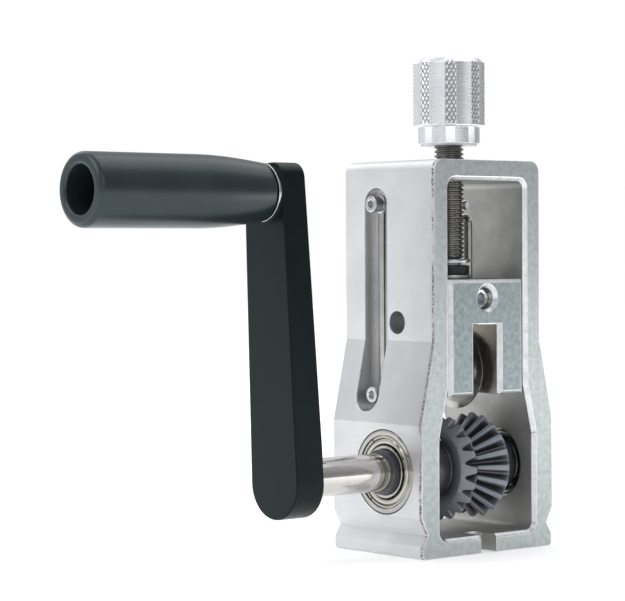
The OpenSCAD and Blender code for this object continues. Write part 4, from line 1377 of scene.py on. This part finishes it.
        rim = np.hypot(off[:, 0], off[:, 1]) > self.knob_r - self.knurl_depth - 0.1
        depth = self.knurl(np.arctan2(off[:, 1], off[:, 0]), off[:, 2])
        # The knurl depth also says where painted shade darkens the grooves.
        mark(piece, "relief", np.where(rim, depth, 0))
        return piece


@dataclass
class WasherStack:
    """The washers between the slider and the screw's shoulder. Sizes in mm."""

    hole_r: float = 3.85
    split_t: float = 1.25

    def build(self) -> None:
        """Builds and dresses the plain washer, the black ring and the split washer."""
        black = Coated("black_nylon_ring", "#1a1b1e", "#121316", 0.45, grain_mm=0.3)
        place = Place((0, AXIS_Y, 0), (0, 0, 1), (1, 0, 0))
        for node, name, finish, edge in (("plain_washer", "flat_washer", ZINC, 0.25),
                                         ("thrust_ring", "black_ring", black, 0.4)):
            low, high = node_box(node)
            radius = float(high[0] - low[0]) / 2
            section = rounded([[self.hole_r, low[2]], [radius, low[2]], [radius, high[2]],
                               [self.hole_r, high[2]]], edge, 3)
            fit(turned(name, section, place, ring=True), node, finish)
        low, high = node_box("spring_washer")
        radius, height = float(high[0] - low[0]) / 2, float(high[2] - low[2])
        section = rounded([[self.hole_r, low[2]], [radius, low[2]],
                           [radius, low[2] + self.split_t], [self.hole_r, low[2] + self.split_t]],
                          0.25, 3)
        fit(turned_part("split_washer", section, place, -36, 312, height - self.split_t),
            "spring_washer", ZINC)


@dataclass
class Slider:
    """The slider block with its retaining screw. Sizes in mm."""

    edge_break: float = 0.22
    chamfer: float = 1.5
    fork_half: float = 5.6

    def build(self) -> None:
        """Builds and dresses the block and the screw behind its front hole."""
        blasted = Metal("tumbled_aluminium_block", "#9fa9aa", "#7e888b", 0.44, swing=0.09,
                        patch_mm=1.8, patch_edge=0.22, mark_mm=0.4, mark_depth_mm=0.008,
                        fleck_mm=0.8)
        piece = machined_copy("slider_block", "slider", self.edge_break, edge_slot=1,
                              seams=((ALONG_X, 0.0), (ALONG_Y, AXIS_Y)))
        low, _ = node_box("slider_block")
        normal, centre = faces_of(piece)
        facing, across = np.abs(normal[:, 1]), np.abs(normal[:, 0])
        near_front = centre[:, 1] - low[1] < self.chamfer
        slots = ((facing > 0.5) & (facing < 0.9) & near_front).astype(np.int32)
        slots[(across > 0.9) & (np.abs(centre[:, 0]) < self.fork_half)] = 2
        piece.data.polygons.foreach_set("material_index", slots)
        milled = Metal("milled_fork_wall", "#e0dcd6", "#cbc7c1", 0.3, lay=Lay.ALONG_Z)
        fit(piece, "slider_block", blasted, EDGE, milled)
        nose_low, nose_high = node_box("retaining_screw")
        radius = float(nose_high[2] - nose_low[2]) / 2
        place = Place((0, float(nose_low[1]), float(nose_low[2]) + radius), (0, -1, 0), (0, 0, 1))
        length = float(nose_high[1] - nose_low[1])
        fit(socket_screw("lead_screw_keeper", place, radius, 0.0, 3.6, 3.0, radius - 0.02, length,
                         edge=0.5), "retaining_screw", ZINC)


@dataclass
class Cutter:
    """The round blade with its screw, bush and spacers. Sizes in mm."""

    bore_r: float = 4.06
    bevel: float = 2.2

    def build(self) -> None:
        """Builds and dresses the blade and what carries it."""
        low, high = node_box("cutter_disc")
        middle = (low + high) / 2
        half, radius = float(high[0] - low[0]) / 2, float(high[2] - low[2]) / 2
        place = Place(tuple(float(c) for c in middle), (1, 0, 0), (0, 0, 1))
        ground = TurnedMetal("ground_tool_steel_blade", "#bdbdbb", "#aaaaa8", 0.18,
                             centre=tuple(float(c) for c in middle), ring_mm=0.25)
        section = np.array([[self.bore_r, -half], [radius - self.bevel, -half], [radius, -0.08],
                            [radius, 0.08], [radius - self.bevel, half], [self.bore_r, half]])
        fit(turned("round_blade", section, place, ring=True, sharp_deg=8), "cutter_disc", ground)
        bronze = Metal("sintered_bronze_bush", "#9a7c45", "#82673a", 0.35, fleck_mm=0.3)
        for node, name, finish in (("cutter_screw", "blade_screw", BLACK_SCREW),
                                   ("cutter_bush", "blade_bush", bronze),
                                   ("cutter_spacers", "blade_spacers", ZINC)):
            fit(machined_copy(node, name, 0.15), node, finish)


@dataclass
class Studio:
    """White studio: camera, pale floor, graded surroundings and soft lights. Lengths in mm."""

    camera_at: tuple[float, float, float] = (-536.3, -570.8, 99.8)
    azimuth_deg: float = -40.0
    elevation_deg: float = 1.19
    roll_deg: float = -0.315
    lens_mm: float = 133.34
    floor_r: float = 4000.0

    def build(self) -> None:
        """Makes everything around the object."""
        self.camera()
        self.floor()
        self.world()
        self.light("key", (-900, 150, 900), 800, 4.0)
        self.light("front_fill", (-250, -1100, 650), 700, 1.6)
        self.light("top", (480, 50, 1020), 900, 2.4)
        self.light("back_high", (0, 900, 800), 700, 1.5)
        self.light("low_bounce", (215, -205, 20), 110, 0.07)

    def camera(self) -> None:
        """Places the camera; its frame is right, up and back of the viewing direction."""
        a, e, roll = (math.radians(v) for v in (self.azimuth_deg, self.elevation_deg,
                                                self.roll_deg))
        back = np.array([math.sin(a) * math.cos(e), -math.cos(a) * math.cos(e), math.sin(e)])
        right = np.cross([0, 0, 1.0], back)
        right /= np.linalg.norm(right)
        up = np.cross(back, right)
        tilted = right * math.cos(roll) + up * math.sin(roll)
        raised = up * math.cos(roll) - right * math.sin(roll)
        data = bpy.data.cameras.new("camera")
        data.lens = self.lens_mm
        data.sensor_width = 36.0
        data.clip_start, data.clip_end = 0.01, 50.0
        camera = bpy.data.objects.new("camera", data)
        bpy.context.scene.collection.objects.link(camera)
        pose = Matrix(np.stack([tilted, raised, back], 1).tolist()).to_4x4()
        pose.translation = [c * MM for c in self.camera_at]
        camera.matrix_world = pose
        bpy.context.scene.camera = camera

    def floor(self) -> None:
        """Lays a round pale floor just under the base."""
        angle = np.linspace(0, 2 * np.pi, 64, endpoint=False)[None, :]
        place = Place((0, 0, -0.02), (0, 0, 1), (1, 0, 0))
        grid = place.put(np.array([[0.0], [self.floor_r]]), np.zeros((2, 1)), angle)
        piece = skin("studio_floor", grid)
        piece.modifiers.clear()
        paper = StudioPaper("white_studio_paper", "#fafafa", "#f6f6f6", 0.9)
        piece.data.materials.append(paper.material())

    def world(self) -> None:
        """Surrounds the object with a graded white room.

        Brightness depends on direction: bright towards the back left and above, grey towards the
        front right, so that flat metal faces differ as they do under one big window.
        """
        world = bpy.data.worlds.new("studio")
        bpy.context.scene.world = world
        world.use_nodes = True
        tree = world.node_tree
        tree.nodes.clear()
        direction = add_node(tree, "ShaderNodeTexCoord").outputs["Generated"]
        aim = add_node(tree, "ShaderNodeVectorMath", {"operation": "DOT_PRODUCT"},
                       {1: (-0.62, 0.76, 0.18)}, {0: direction}).outputs["Value"]
        height = add_node(tree, "ShaderNodeSeparateXYZ", links={0: direction}).outputs[2]
        graded, above = [
            add_node(tree, "ShaderNodeMapRange", {"clamp": True},
                     {1: low, 2: high, 3: dim, 4: bright}, {0: socket}).outputs[0]
            for socket, low, high, dim, bright in ((aim, -1.0, 0.85, 0.26, 0.80),
                                                   (height, 0.3, 1.0, 0.0, 0.18))]
        strength = add_node(tree, "ShaderNodeMath", {"operation": "ADD"},
                            links={0: graded, 1: above}).outputs[0]
        room = add_node(tree, "ShaderNodeBackground", None, {"Color": tint("#f7f8fb")},
                        {"Strength": strength})
        white = add_node(tree, "ShaderNodeBackground", None, {"Color": (1, 1, 1, 1),
                                                             "Strength": 1.0})
        seen = add_node(tree, "ShaderNodeLightPath").outputs["Is Camera Ray"]
        mixed = add_node(tree, "ShaderNodeMixShader", links={0: seen, 1: room.outputs[0],
                                                            2: white.outputs[0]})
        add_node(tree, "ShaderNodeOutputWorld", links={"Surface": mixed.outputs[0]})

    def light(self, name: str, at: tuple[float, float, float], size: float, watts: float) -> None:
        """Hangs one soft square light that faces the object's middle.

        Args:
            name: the light's name.
            at: its place.
            size: length of its side.
            watts: its power.
        """
        data = bpy.data.lights.new(name, "AREA")
        data.size = size * MM
        data.energy = watts
        lamp = bpy.data.objects.new(name, data)
        bpy.context.scene.collection.objects.link(lamp)
        back = np.array(at, float) - [-30, 0, 80]
        back /= np.linalg.norm(back)
        right = np.cross([0, 0, 1.0], back) if abs(back[2]) < 0.99 else np.array([1.0, 0, 0])
        right /= np.linalg.norm(right)
        pose = Matrix(np.stack([right, np.cross(back, right), back], 1).tolist()).to_4x4()
        pose.translation = [c * MM for c in at]
        lamp.matrix_world = pose


def main() -> None:
    """Builds every sub-assembly in order, then the studio."""
    logging.basicConfig(level=logging.INFO, format="%(name)s: %(message)s")
    bpy.context.scene.view_settings.view_transform = "Standard"
    UprightFrame().build()
    for side in Side:
        Bearing(side).build()
        FeedGear(side).build()
    Crank().build()
    Adjuster().build()
    WasherStack().build()
    Slider().build()
    Cutter().build()
    Studio().build()


if __name__ == "__main__":
    main()
